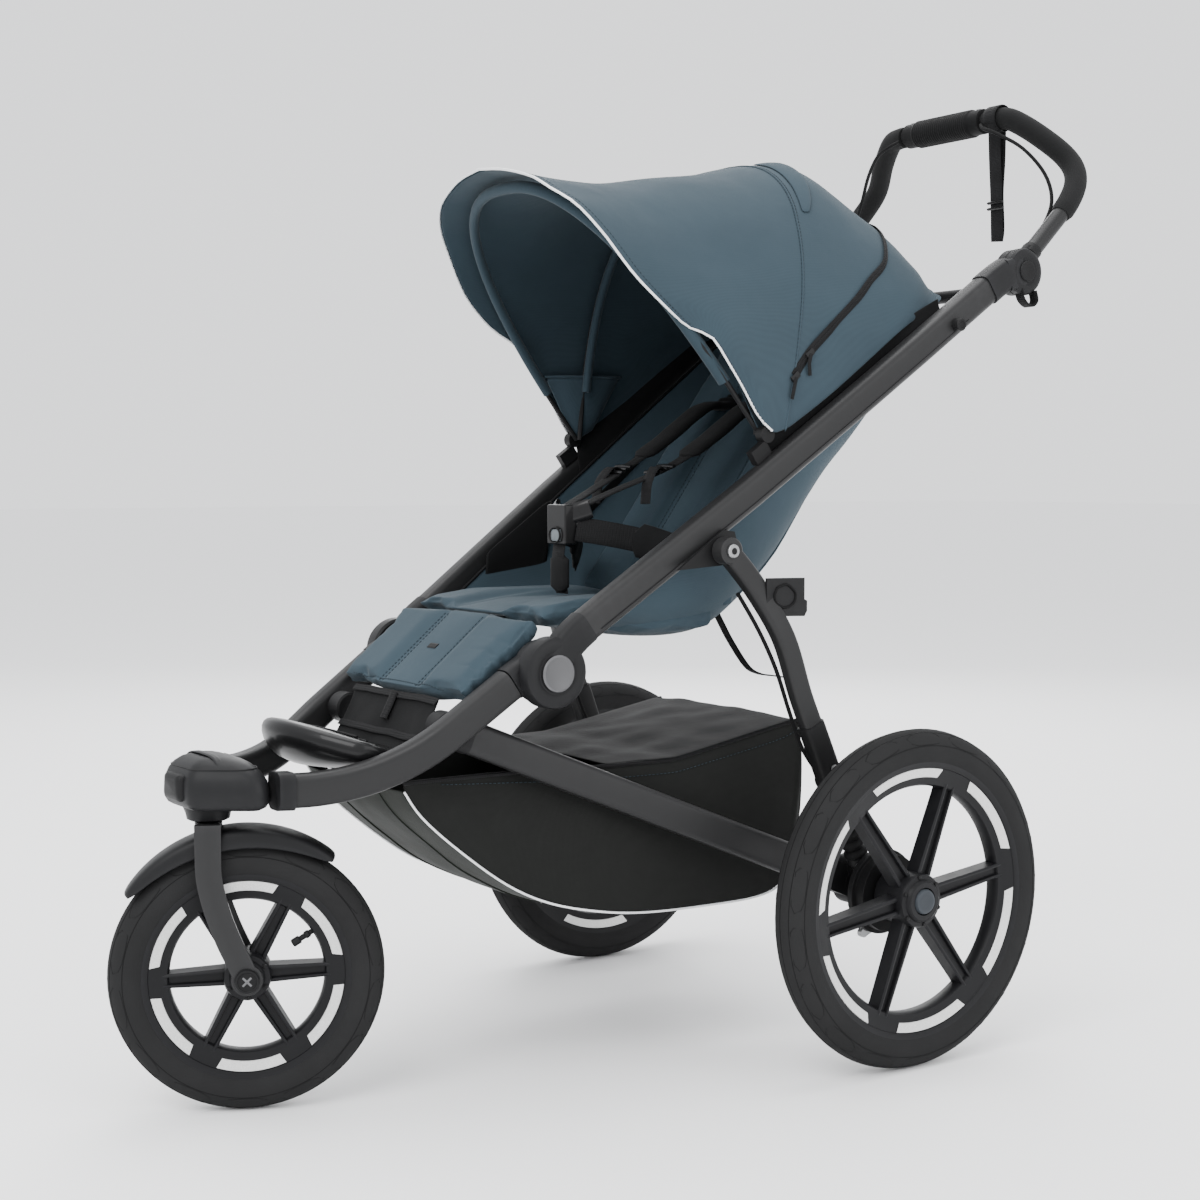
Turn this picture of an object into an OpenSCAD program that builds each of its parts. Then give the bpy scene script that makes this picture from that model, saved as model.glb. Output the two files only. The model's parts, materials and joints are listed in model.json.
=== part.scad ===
// Three-wheel all-terrain stroller with a folding frame, in millimetres.
// +Z is up, -Y is the way it rolls and +X is the child's left.
// The origin is on the ground, under the middle of the whole outline.

/* [Wheels] */
// Diameter of a rear wheel
rear_wheel_d = 400; // [340:5:480]
// Width of a rear tyre
rear_tyre_w = 46; // [38:1:52]
// Diameter of the front wheel
front_wheel_d = 300; // [250:5:330]
// Width of the front tyre
front_tyre_w = 45; // [38:1:48]
// Distance between the middle planes of the rear wheels
rear_track = 640; // [600:5:760]
// Diameter of a rear axle stub
rear_axle_d = 12; // [10:0.5:16]
// Diameter of the front axle
front_axle_d = 10; // [8:0.5:12]
// Spokes in each wheel
spoke_count = 6; // [5:1:8]
// Height of the tyre above the rim
tyre_depth = 40.2; // [30:0.5:50]

/* [Frame] */
// Rear axle, along Y
axle_y = 213; // [190:1:240]
// Swivel axis, along Y
steer_y = -529; // [-560:1:-520]
// How far the front axle trails the swivel axis
trail = 40; // [30:1:50]
// Turn of the front wheel about its swivel axis
swivel_turn = -25; // [-30:1:30]
// Fold hinge, along Y
hinge_y = -197; // [-205:1:-190]
// Fold hinge, height
hinge_z = 478; // [470:1:500]
// Half the distance between the middles of the fold hinges
hinge_x = 168; // [166:1:180]
// Slope of the main tubes
tube_slope = 35; // [34:0.5:36]
// Width of a main tube
tube_w = 27; // [22:0.5:28]
// Height of a main tube
tube_h = 37; // [30:0.5:40]
// Half the distance between the main tubes at the handle
handle_x = 228; // [224:1:270]
// Width of a stay
stay_w = 24; // [20:0.5:26]
// Height of a stay
stay_h = 38; // [30:0.5:42]
// Width of a rear link
link_w = 20; // [16:0.5:24]
// Depth of a rear link
link_h = 26; // [20:0.5:30]

/* [Handle] */
// Handle pivot, along Y
handle_y = 478; // [470:1:490]
// Handle pivot, below the middle of the main tube
handle_drop = 16; // [12:1:20]
// Outer diameter of the foam on the handle
foam_d = 29; // [26:0.5:33]
// Diameter of the handle tube
bar_d = 21; // [18:0.5:23]
// Length of the twist brake grip
grip_l = 150; // [110:1:170]
// Outer diameter of the twist brake grip
grip_d = 38; // [34:0.5:44]

/* [Seat] */
// Half width of the seat tub
tub_x = 160; // [130:1:161]
// Half width of the seat cushion
seat_x = 146; // [120:1:148]
// Half width of the back cushion
back_x = 148; // [120:1:150]
// Length of the back cushion
back_l = 465; // [400:5:480]
// Thickness of the back cushion
back_t = 26; // [16:1:30]
// Slope of the back cushion
back_slope = 54; // [52:1:56]
// Thickness of the fabric walls
cloth_t = 3; // [2:0.25:4]

/* [Canopy] */
// Half width of the canopy
canopy_x = 212; // [211:1:215]
// Height of the canopy above its pivots
canopy_h = 343; // [300:1:380]
// Diameter of a canopy bow
bow_d = 6.4; // [5:0.2:8]

/* [Basket] */
// Half width of the basket at its back
basket_x = 147; // [120:1:150]
// Height of the lowest part of the basket
basket_low = 182; // [120:1:220]
// Height of the basket's hem at the front
basket_hem = 361; // [340:1:362]

/* [Hidden] */
$fn = 64;

// Clearances
gap = 0.3;            // between two pieces that only meet
run = 0.05;           // radial clearance of a running fit
pad_gap = 0.6;        // between a cushion and what carries it

// Places that several pieces share
axle_z = rear_wheel_d / 2;
wheel_x = rear_track / 2;
front_hub_z = front_wheel_d / 2;
cup_z = front_wheel_d + 22;
nose_z = cup_z + 16;
nose_h = 56;
nose_back_y = steer_y + 43;
nose_front_y = steer_y - 38;
nose_front_x = 34;
nose_back_x = 90;
pin_rise = 19;        // middle of the main tubes above the fold hinge
disc_r = 40;
hinge_in = hinge_x - 18;
hinge_out = hinge_x + 22;
knuckle_t = 15;
hinge_pin_d = 16;
casting_l = 54;       // from the fold hinge to where each main tube starts
stay_y = -300;
stay_z = 418;
stay_front_x = 118;
stay_back_x = wheel_x - 100;
stay_pin_d = 14;
housing_r = 24;
housing_l = 60;
link_top_y = 10;
link_top_z = 610;
link_gap = 5;
link_low_x = wheel_x - 72;
link_foot = [203, 26];     // Y, and height above the axle
link_eye_r = 14;
boss_r = 12;
drum_r = 46;
plate_x = wheel_x - 54;
plate_t = 22;
arm_pin = [15, -35];       // cam pin of the brake arm, from the axle
handle_z = tube_z(handle_y) - handle_drop;
handle_r = 29;
handle_in = handle_x - 15;
handle_out = handle_x + 15;
grip_c = [0, 574, handle_z + 222];
clip_y = 85;
clip_z = tube_z(clip_y) + tube_h / 2 / cos(tube_slope) + 27;
back_foot = [75, 527];
seat_top = 551;
buckle = [0, -63, 639];
buckle_low = buckle[2] - 26;

function tube_z(y) = hinge_z + pin_rise + (y - hinge_y) * tan(tube_slope);
function tube_low(y) = tube_z(y) - tube_h / 2 / cos(tube_slope);
function bez(a, b, t) = a + (b - a) * t;
// A curve through every point of a list, with k steps to a span
function smooth(p, k) = concat(
    [for (i = [0 : len(p) - 2], j = [0 : k - 1])
        let (a = p[max(i - 1, 0)], b = p[i], c = p[i + 1], d = p[min(i + 2, len(p) - 1)], t = j / k)
        0.5 * (2 * b + (c - a) * t + (2 * a - 5 * b + 4 * c - d) * t * t
            + (3 * b - a - 3 * c + d) * t * t * t)],
    [p[len(p) - 1]]);
function unit(v) = v / norm(v);
function flipped(p) = [for (v = p) [-v[0], v[1], v[2]]];
function back(p) = [for (i = [len(p) - 1 : -1 : 0]) p[i]];
function heading(p, i) = unit(p[min(i + 1, len(p) - 1)] - p[max(i - 1, 0)]);
// A rectangle with its corners cut off
function barrel(w, h, c) = [[w / 2, c - h / 2], [w / 2, h / 2 - c], [w / 2 - c, h / 2], [c - w / 2, h / 2],
    [-w / 2, h / 2 - c], [-w / 2, c - h / 2], [c - w / 2, -h / 2], [w / 2 - c, -h / 2]];
function disc(r, n) = [for (i = [0 : n - 1]) r * [cos(360 * i / n), sin(360 * i / n)]];

// A closed solid through rings of points that all have the same number. With folded = true a ring is a
// thin band, there and back, so its caps are strips of quads.
module loft(rings, folded = false) {
    n = len(rings[0]);
    m = len(rings);
    strip = [for (k = [0, (m - 1) * n], i = [0 : n / 2 - 2])
        let (a = k + i, b = k + n - 1 - i)
        each (k == 0 ? [[a, a + 1, b], [a + 1, b - 1, b]] : [[a, b, a + 1], [a + 1, b, b - 1]])];
    sides = [for (k = [0 : m - 2], i = [0 : n - 1])
        let (a = k * n + i, b = k * n + (i + 1) % n)
        each [[b, a, b + n], [a, a + n, b + n]]];
    caps = [[for (i = [0 : n - 1]) i], [for (i = [n - 1 : -1 : 0]) (m - 1) * n + i]];
    polyhedron([for (r = rings) each r], concat(sides, folded ? strip : caps), convexity = 8);
}
// A bar along a path: its rings all hold the X direction
module bar(path, shape) {
    loft([for (i = [0 : len(path) - 1])
        let (t = heading(path, i), v = unit([0, t[2], -t[1]]))
        [for (s = shape) path[i] + [s[0], 0, 0] + s[1] * v]]);
}
// A round tube along a path whose rings turn about a fixed direction
module tube(path, d, ref, sides = 12) {
    loft([for (i = [0 : len(path) - 1])
        let (t = heading(path, i), u = unit(cross(ref, t)), v = cross(t, u))
        [for (s = disc(d / 2, sides)) path[i] + s[0] * u + s[1] * v]]);
}
// A round bar along X, from x0 to x1 at a place in the side view
module rod(x0, x1, y, z, r) {
    translate([min(x0, x1), y, z]) rotate([0, 90, 0]) cylinder(h = abs(x1 - x0), r = r);
}
// A side-view outline of [Y, Z] points, made thick from x0 to x1
module slab(x0, x1, outline) {
    translate([x0, 0, 0]) rotate([90, 0, 90]) linear_extrude(x1 - x0) polygon(outline);
}
// A profile of [radius, X] points turned about the X axis
module turned() {
    rotate([0, 90, 0]) rotate_extrude($fn = 96) children();
}
module both_sides() {
    children();
    mirror([1, 0, 0]) children();
}
// A length of main-tube section in the side view, from a to b along the slope, measured from a point
module run_of_tube(x0, x1, y, z, a, b, h = tube_h) {
    translate([x0, y, z]) rotate([tube_slope, 0, 0]) translate([0, a, -h / 2]) cube([x1 - x0, b - a, h]);
}
module at_front_hub() {
    translate([0, steer_y, 0]) rotate([0, 0, swivel_turn]) translate([0, trail, front_hub_z]) children();
}
module at_rear_hub() {
    translate([wheel_x, axle_y, axle_z]) children();
}

// ---------- nose ----------
module nose_casting() color("#232427") {
    inset = 9;
    difference() {
        hull() {
            translate([0, 0, nose_z]) linear_extrude(nose_h * 0.45)
                polygon([[-nose_front_x, nose_front_y], [nose_front_x, nose_front_y],
                    [nose_back_x, nose_back_y], [-nose_back_x, nose_back_y]]);
            translate([0, 0, nose_z + nose_h - 1]) linear_extrude(1)
                polygon([[inset - nose_front_x, nose_front_y + inset], [nose_front_x - inset,
                        nose_front_y + inset],
                    [nose_front_x + 16, nose_back_y - 14], [-nose_front_x - 16, nose_back_y - 14]]);
        }
        translate([-latch_w / 2 - gap, nose_front_y - 1, latch_z - gap])
            cube([latch_w + 2 * gap, latch_in + 1, latch_h + 2 * gap]);
    }
}
latch_w = 34;
latch_h = 18;
latch_in = 16;
latch_z = nose_z + 12;
module nose_latch() color("#1a1b1d") {
    latch_proud = 5;
    slide_room = 6;
    translate([-latch_w / 2, nose_front_y - latch_proud, latch_z])
        cube([latch_w, latch_in + latch_proud - slide_room, latch_h]);
}
stem_r = 9;
stem_l = 12;
module swivel_cup() color("#232427") {
    cup_top_r = 27;
    cup_low_r = 23;
    cup_l = nose_z - cup_z;
    translate([0, steer_y, cup_z]) rotate_extrude()
        polygon([[stem_r + run, 0], [cup_low_r, 0], [cup_top_r, cup_l], [0, cup_l], [0, stem_l + 1],
            [stem_r + run, stem_l + 1]]);
}

// ---------- front tubes ----------
nose_tube_x = 76;
nose_tube_z = nose_z + 21;
front_tube_y = hinge_y - (casting_l + gap) * cos(tube_slope);
front_tube_start = [hinge_x - 10, front_tube_y, tube_z(front_tube_y)];
front_tube_path = smooth([
    [nose_tube_x, nose_back_y + gap, nose_tube_z], [91, -450, 359.5], [107, -415, 365], [123, -384, 375],
    [139, -352, 391], [149, -322, 410], [153, -290, 432], front_tube_start], 4);
module front_tube(path) color("#3c3d3f") bar(path, barrel(tube_w, tube_h, 8));
module front_tube_left() front_tube(front_tube_path);
module front_tube_right() front_tube(back(flipped(front_tube_path)));
function front_tube_x(y) = lookup(y, [for (p = front_tube_path) [p[1], p[0]]]);

// ---------- fold hinge ----------
// Front casting: a tongue behind the disc and a full-width block that meets the front tube
module hinge_knuckles() color("#2e2f31") both_sides() difference() {
    union() {
        rod(hinge_in, hinge_in + knuckle_t, hinge_y, hinge_z, disc_r - 4);
        run_of_tube(hinge_in, hinge_in + knuckle_t, hinge_y, tube_z(hinge_y), gap - casting_l, -6);
        difference() {
            run_of_tube(hinge_in, hinge_out - 6, hinge_y, tube_z(hinge_y), gap - casting_l, -8);
            rod(hinge_in + knuckle_t, hinge_out, hinge_y, hinge_z, disc_r + 1);
        }
    }
    rod(hinge_in - 1, hinge_out + 1, hinge_y, hinge_z, hinge_pin_d / 2 + run);
}
// Rear casting: the visible disc and a full-width block that meets the upper tube
module hinge_discs() color("#2e2f31") both_sides() difference() {
    union() {
        rod(hinge_in + knuckle_t + gap, hinge_out, hinge_y, hinge_z, disc_r);
        run_of_tube(hinge_in + knuckle_t + gap, hinge_out - 2, hinge_y, tube_z(hinge_y), 6,
                casting_l - gap);
        difference() {
            run_of_tube(hinge_in + 4, hinge_out - 2, hinge_y, tube_z(hinge_y), 30, casting_l - gap);
            rod(hinge_in, hinge_in + knuckle_t + gap, hinge_y, hinge_z, disc_r - 3);
        }
    }
    rod(hinge_in - 1, hinge_out - 3, hinge_y, hinge_z, hinge_pin_d / 2 + run);
}
module hinge_badges() color("#6f7276") both_sides() rod(hinge_out, hinge_out + 2, hinge_y, hinge_z,
        disc_r / 2);
// Fold pins, and the pins that carry the stays inside the front tubes
module frame_pins() color("#8c8f93") both_sides() {
    flange_t = 6;
    rod(hinge_in, hinge_out - 3.5, hinge_y, hinge_z, hinge_pin_d / 2);
    rod(stay_front_x - stay_w / 2, stay_front_x + stay_w / 2 + 1, stay_y, stay_z, stay_pin_d / 2);
    rod(stay_front_x + stay_w / 2 + 1, stay_front_x + stay_w / 2 + 1 + flange_t, stay_y, stay_z,
            stay_pin_d / 2 + 4);
}

// ---------- foot end ----------
foot_back_y = -332;
foot_front_y = -388;
foot_reach = 1.2;     // the tray's corners go in under the chamfers of the tubes
foot_x = front_tube_x(foot_front_y) - tube_w / 2 + foot_reach;
foot_z = 384;
function foot_edge(x) = foot_front_y - 52 * (1 - pow(x / foot_x, 2));
module footrest() color("#1e1f21") {
    tray_t = 5;
    lip_t = 5;
    lip_h = 36;
    steps = [for (i = [-6 : 6]) foot_x * i / 6];
    front = [for (x = steps) [x, foot_edge(x)]];
    translate([0, 0, foot_z]) {
        linear_extrude(tray_t) polygon(concat(front, [[foot_x - 4, foot_back_y], [4 - foot_x,
                foot_back_y]]));
        linear_extrude(lip_h) polygon(concat(front, [for (x = back(steps)) [x, foot_edge(x) + lip_t]]));
    }
}
leg_front = [-298, 456];
leg_back = [-197, 540];
leg_t = 14;
leg_dir = unit(leg_back - leg_front);
leg_down = [leg_dir[1], -leg_dir[0]];
module legrest_pad() color("#4d6270") {
    n = leg_down * leg_t;
    front_x = front_tube_x(leg_front[0]) - tube_w / 2 - pad_gap;
    loft([for (e = [[leg_front, front_x - 3], [leg_front + leg_dir * 10, front_x],
            [leg_back - leg_dir * 10, hinge_in - 2], [leg_back, hinge_in - 3]])
        [[-e[1], each e[0] + n], [e[1], each e[0] + n], [e[1], each e[0]], [-e[1], each e[0]]]]);
}
module footwell_panel() color("#17181a") {
    panel_x = 101;
    top = leg_front + leg_down * leg_t / 2 - leg_dir * gap;
    low = [foot_back_y + gap, foot_z + 1];
    slab(-panel_x, panel_x, [top, low, low + [cloth_t, 0], top + leg_down * cloth_t]);
}

// ---------- fork and front wheel ----------
fork_t = 8;
fork_x = front_tyre_w / 2 + 4.5;
module fork() color("#3c3d3f") translate([0, steer_y, 0]) rotate([0, 0, swivel_turn]) {
    crown_t = 7;
    blade_w = 26;
    eye_r = 17;
    top = cup_z - gap;
    knee = front_hub_z + 108;
    hub = [trail, front_hub_z];
    difference() {
        union() {
            both_sides() {
                slab(fork_x, fork_x + fork_t, [[-blade_w / 2, top], [-blade_w / 2, knee],
                        [8 - blade_w / 2, knee - 34],
                    hub + [-14, -8], hub + [12, 10], [8 + blade_w / 2, knee - 20], [blade_w / 2, knee + 6],
                    [blade_w / 2, top]]);
                rod(fork_x, fork_x + fork_t, hub[0], hub[1], eye_r);
            }
            translate([-fork_x - fork_t, -blade_w / 2, top - crown_t])
                cube([2 * (fork_x + fork_t), blade_w, crown_t]);
            translate([0, 0, top - crown_t]) cylinder(h = stem_l + crown_t, r = stem_r);
        }
        rod(-fork_x - fork_t - 1, fork_x + fork_t + 1, hub[0], hub[1], front_axle_d / 2 + run);
    }
}
module front_axle() color("#303133") at_front_hub() {
    cap_t = 5;
    rod(-fork_x - fork_t - gap, fork_x + fork_t + gap, 0, 0, front_axle_d / 2);
    both_sides() rod(fork_x + fork_t + gap, fork_x + fork_t + gap + cap_t, 0, 0, 13);
}
// Mudguard: a channel that follows the tyre and hangs from the crown
module front_fender() color("#232427") at_front_hub() {
    outer = cup_z - gap - 7 - gap - front_hub_z;
    shell = 2;
    deep = 22;
    half = fork_x - 0.8;
    from = 54;
    sweep = 90;
    rotate([from, 0, 0]) rotate([90, 0, 90]) translate([0, 0, -half]) difference() {
        rotate_extrude(angle = sweep, $fn = 96) translate([outer - deep, 0]) square([deep, 2 * half]);
        rotate_extrude(angle = 360, $fn = 96) translate([front_hub_z - 12, shell])
            square([outer - shell - front_hub_z + 12, 2 * (half - shell)]);
    }
}
// One wheel's rim, spokes and hub, with its outer side at +X
module rim(d, hub_r, hub_in, hub_out, bore_d, spoke_w, cap_bore) {
    bead = d / 2 - tyre_depth;
    ring_w = 34;
    ring_t = 25.5;
    spoke_t = 20;
    difference() {
        union() {
            turned() polygon([[bead - ring_t, -ring_w / 4], [bead, -ring_w / 2], [bead, ring_w / 2],
                [bead - ring_t, ring_w / 4]]);
            rod(-hub_in, hub_out, 0, 0, hub_r);
            for (i = [0 : spoke_count - 1]) rotate([360 / spoke_count * i + 38, 0, 0])
                slab(-spoke_t / 2, spoke_t / 2, [[-spoke_w / 2, 0], [spoke_w / 2, 0],
                    [spoke_w * 0.37, bead - ring_t + 4], [-spoke_w * 0.37, bead - ring_t + 4]]);
        }
        rod(-hub_in - 1, hub_out + 1, 0, 0, bore_d / 2 + run);
        if (cap_bore > 0) rod(hub_out - 16, hub_out + 1, 0, 0, cap_bore);
    }
}
module tyre(d, w) {
    bead = d / 2 - tyre_depth + 0.2;
    bead_w = 0.74 * w;
    turned() difference() {
        union() {
            translate([d / 2 - w / 2, 0]) circle(d = w);
            translate([bead, -bead_w / 2]) square([d / 2 - w / 2 - bead, bead_w]);
        }
        translate([0, -w]) square([bead, 2 * w]);
    }
}
module front_rim() color("#232427") at_front_hub() {
    stem_in = front_wheel_d / 2 - tyre_depth - 24.5;
    rim(front_wheel_d, 26, fork_x - gap - 1, fork_x - gap - 1, front_axle_d, 22, 0);
    rotate([-50, 0, 0]) translate([0, 0, stem_in - 22]) cylinder(h = 24, r = 4);
}
module front_tyre() color("#3a3a3b") at_front_hub() tyre(front_wheel_d, front_tyre_w);

// ---------- rear axle ----------
axle = [axle_y, axle_z];
stay_dir = unit(axle - [stay_y, stay_z]);
module stay_bar(a, b) {
    full = norm(axle - [stay_y, stay_z]);
    bar([for (s = [a, b]) [bez(stay_front_x, stay_back_x, s / full), stay_y + stay_dir[0] * s,
            stay_z + stay_dir[1] * s]],
        barrel(stay_w, stay_h, 8));
}
module stay() color("#3c3d3f") difference() {
    knuckle_r = 18;
    reach = norm(axle - [stay_y, stay_z]) - housing_l - gap;
    union() {
        stay_bar(16, reach);
        rod(stay_front_x - stay_w / 2, stay_front_x + stay_w / 2, stay_y, stay_z, knuckle_r);
    }
    rod(stay_front_x - stay_w, stay_front_x + stay_w, stay_y, stay_z, stay_pin_d / 2 + run);
}
module stay_left() stay();
module stay_right() mirror([1, 0, 0]) stay();
beam_r = 11;
module axle_beam() color("#2b2c2e") rod(-stay_back_x + 12, stay_back_x - 12, axle_y, axle_z, beam_r);
stub_end = wheel_x + 8;
module axle_housings() color("#202123") both_sides() {
    in_x = stay_back_x - 12 + gap;
    neck_r = 14;
    side_a = atan2(stay_dir[1], stay_dir[0]);
    rod(in_x, stay_back_x + stay_w / 2 + 0.5, axle_y, axle_z, housing_r);
    translate([in_x, axle_y, axle_z]) rotate([side_a, 0, 0]) translate([0, -housing_l, -stay_h / 2 + 1])
        cube([stay_w - gap, housing_l, stay_h - 2]);
    rod(in_x, plate_x - gap, axle_y, axle_z, neck_r);
    rod(stay_back_x - 6, stay_back_x + 12.5, link_foot[0], axle_z + link_foot[1], boss_r);
    rod(plate_x - gap - 1, stub_end, axle_y, axle_z, rear_axle_d / 2);
}
module brake_backplates() color("#1c1d1f") both_sides() {
    difference() {
        union() {
            rod(plate_x, plate_x + 8, axle_y, axle_z, drum_r + 5);
            rod(plate_x + 8, plate_x + plate_t, axle_y, axle_z, drum_r);
        }
        rod(plate_x - 1, plate_x + plate_t + 1, axle_y, axle_z, rear_axle_d / 2 + run);
    }
    rod(plate_x - 9, plate_x, axle_y + arm_pin[0], axle_z + arm_pin[1], 4);
}
arm_end = [-20, -50];
module brake_arm() color("#7d8084") difference() {
    arm_x = plate_x - 7;
    arm_t = 4;
    p = axle + arm_pin;
    q = axle + arm_end;
    n = unit([p[1] - q[1], q[0] - p[0]]) * 7;
    union() {
        slab(arm_x, arm_x + arm_t, [p + n, q + n * 0.7, q - n * 0.7, p - n]);
        rod(arm_x, arm_x + arm_t, p[0], p[1], 9);
        rod(arm_x - 3, arm_x + arm_t, q[0], q[1], 5.5);
    }
    rod(arm_x - 1, arm_x + arm_t + 1, p[0], p[1], 4 + run);
}
module brake_arm_left() brake_arm();
module brake_arm_right() mirror([1, 0, 0]) brake_arm();
module brake_pedal() color("#303133") difference() {
    sleeve_r = 15;
    pedal_x = 26;
    union() {
        rod(-pedal_x, pedal_x, axle_y, axle_z, sleeve_r);
        translate([-pedal_x - 4, axle_y, axle_z]) rotate([24, 0, 0]) translate([0, 4, 3])
            cube([2 * pedal_x + 8, 62, 8]);
    }
    rod(-pedal_x - 5, pedal_x + 5, axle_y, axle_z, beam_r + run);
}
module rear_rim() color("#232427") at_rear_hub()
    rim(rear_wheel_d, 32, wheel_x - (plate_x + plate_t + 1), 24, rear_axle_d, 24, 15 + gap);
module rear_rim_left() rear_rim();
module rear_rim_right() mirror([1, 0, 0]) rear_rim();
module rear_tyre() color("#3a3a3b") at_rear_hub() tyre(rear_wheel_d, rear_tyre_w);
module rear_tyre_left() rear_tyre();
module rear_tyre_right() mirror([1, 0, 0]) rear_tyre();
module hub_button() color("#5d6670") at_rear_hub() rod(12, 27, 0, 0, 15);
module hub_button_left() hub_button();
module hub_button_right() mirror([1, 0, 0]) hub_button();

// ---------- upper frame ----------
upper_tube_start = [hinge_x + 8, hinge_y, tube_z(hinge_y)] + casting_l * unit([0, 1, tan(tube_slope)]);
function on_tube(x, y) = [x, y, tube_z(y)];
housing_arm = 62;
upper_tube_end = on_tube(handle_x - 0.5, handle_y - housing_arm * cos(tube_slope));
upper_tube_path = [upper_tube_start, on_tube(handle_x - 37, -45), on_tube(handle_x - 23, 56),
    on_tube(handle_x - 11, 208), on_tube(handle_x - 5, 310), upper_tube_end];
module upper_tube(path) color("#3c3d3f") bar(path, barrel(tube_w, tube_h, 8));
module upper_tube_left() upper_tube(upper_tube_path);
module upper_tube_right() upper_tube(back(flipped(upper_tube_path)));
// Where the middle of the upper tube is across the frame, at a distance along it
function tube_x(y) = lookup(y, [for (p = upper_tube_path) [p[1], p[0]]]);
link_top_x = tube_x(link_top_y) + tube_w / 2 + link_gap;
module link_brackets() color("#1f2022") both_sides() {
    plate = 4;
    x0 = link_top_x - gap - plate;
    near = link_top_x - gap;
    difference() {
        union() {
            rod(x0, near, link_top_y, link_top_z, link_eye_r);
            slab(x0, near, [[link_top_y - 62, tube_low(link_top_y - 62) + 13], [link_top_y + 2,
                    tube_low(link_top_y + 2) + 13],
                [link_top_y + 19, tube_low(link_top_y + 19) - 1], [link_top_y + 23, link_top_z + 9],
                [link_top_y + 1, link_top_z - 17]]);
        }
        rod(x0 - 1, near - 1.5, link_top_y, link_top_z, 3);
    }
    rod(near - 1, near + link_w + 3, link_top_y, link_top_z, 6);
}
module handle_housings() color("#1b1c1e") both_sides() difference() {
    split = handle_in + 16;
    union() {
        rod(split, handle_out, handle_y, handle_z, handle_r);
        difference() {
            run_of_tube(handle_in, handle_out, handle_y, tube_z(handle_y), gap - housing_arm, -2);
            rod(handle_in - 1, split, handle_y, handle_z, handle_r + 1.5);
        }
        rod(handle_in + 2, split, handle_y, handle_z, 7);
    }
    rod(handle_out - 8, handle_out + 1, handle_y, handle_z, button_r + gap);
}
button_r = 12;
module height_button() color("#141516") rod(handle_out - 4.5, handle_out + 2, handle_y, handle_z, button_r);
module height_button_left() height_button();
module height_button_right() mirror([1, 0, 0]) height_button();
module rear_cross_bar() color("#1b1c1e") {
    cross_y = 405;
    reach = tube_x(cross_y) - tube_w / 2 - gap;
    rod(-reach, reach, cross_y, tube_z(cross_y) + 4, 8);
}
stud_y = 359;
stud_r = 8;
module accessory_studs() color("#141516") both_sides() {
    x0 = tube_x(stud_y) + tube_w / 2 + gap;
    rod(x0, x0 + 10, stud_y, tube_z(stud_y) - 5, stud_r);
}

// ---------- seat ----------
tub_low = [[-122, 523], [-36, 509], [53, 507], [102, 529], [160, 583], [232, 680], [281, 731], [340, 812],
    [381, 908]];
tub_top = [[362, 900], [-92, 562], [-118, 538]];
module seat_tub() color("#4d6270") {
    t = cloth_t;
    inner_low = [[-130, 523 + t + 2], [-36, 509 + t], [51, 507 + t], [99, 529 + t + 1], [156, 583 + t + 1],
        [227, 680 + t], [276, 731 + t], [335, 812 + t], [373, 912]];
    difference() {
        slab(-tub_x, tub_x, concat(tub_low, tub_top));
        slab(t - tub_x, tub_x - t, concat(inner_low, [[375, 960], [-140, 640]]));
    }
}
module seat_cushion() color("#4d6270") {
    top = seat_top;
    low = 509 + cloth_t + pad_gap;
    front_top = leg_back + leg_dir * pad_gap;
    back_y = back_foot[0] - 14.8;
    slab(-seat_x, seat_x, [front_top + leg_down * leg_t, [-134, low + 16.5], [-105, low + 12.5], [-36, low],
        [back_y - 8, low], [back_y, low + 8], [back_y, top - 8], [back_y - 8, top], [-120, top],
                front_top]);
}
module back_cushion() color("#4d6270") {
    corner = 10;
    translate([0, back_foot[0], back_foot[1]]) rotate([back_slope, 0, 0])
        slab(-back_x, back_x, [[0, corner], [corner, 0], [back_l, 0], [back_l, back_t - corner],
            [back_l - corner, back_t], [corner, back_t], [0, back_t - corner]]);
}
strap_x = 46;
strap_top = 300;      // along the back cushion
function on_back(x, s, off) = [x, back_foot[0] + cos(back_slope) * s - sin(back_slope) * (back_t + off),
    back_foot[1] + sin(back_slope) * s + cos(back_slope) * (back_t + off)];
// Shoulder straps, lap straps and crotch strap, each as its own flat band
module harness_straps() color("#18191a") {
    band = barrel(26, 4, 1);
    for (s = [-1, 1]) {
        path = smooth([on_back(s * strap_x, strap_top, 2.5), [s * (strap_x + 2), 184, 780],
            [s * strap_x, 60, 706], [s * 24, -10, 676], [s * 15, buckle[1] + 5.6, 655]], 4);
        bar(back(path), band);
        lap_path = smooth([[s * 25, buckle[1] + 1, 630], [s * 70, 0, 618], [s * 118, 36, 600],
            [s * 140, 52, 585]], 3);
        bar(lap_path, barrel(5, 34, 1.5));
    }
    translate([-13, buckle[1] - 12, seat_top + gap]) cube([26, 4, buckle_low - seat_top - 2 * gap]);
}
buckle_t = 16;
module harness_buckle() color("#101112") translate([buckle[0], buckle[1] - 4, buckle_low]) {
    difference() {
        linear_extrude(48) polygon([[-20, -buckle_t / 2], [20, -buckle_t / 2], [22, buckle_t / 2],
                [-22, buckle_t / 2]]);
        translate([-9 - gap, -buckle_t / 2 - 1, 4 - gap]) cube([18 + 2 * gap, 7, 14 + 2 * gap]);
    }
}
module buckle_button() color("#5f666b") translate(buckle + [-9, -4 - buckle_t / 2 - 1, -22]) cube([18,
        4, 14]);

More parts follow.
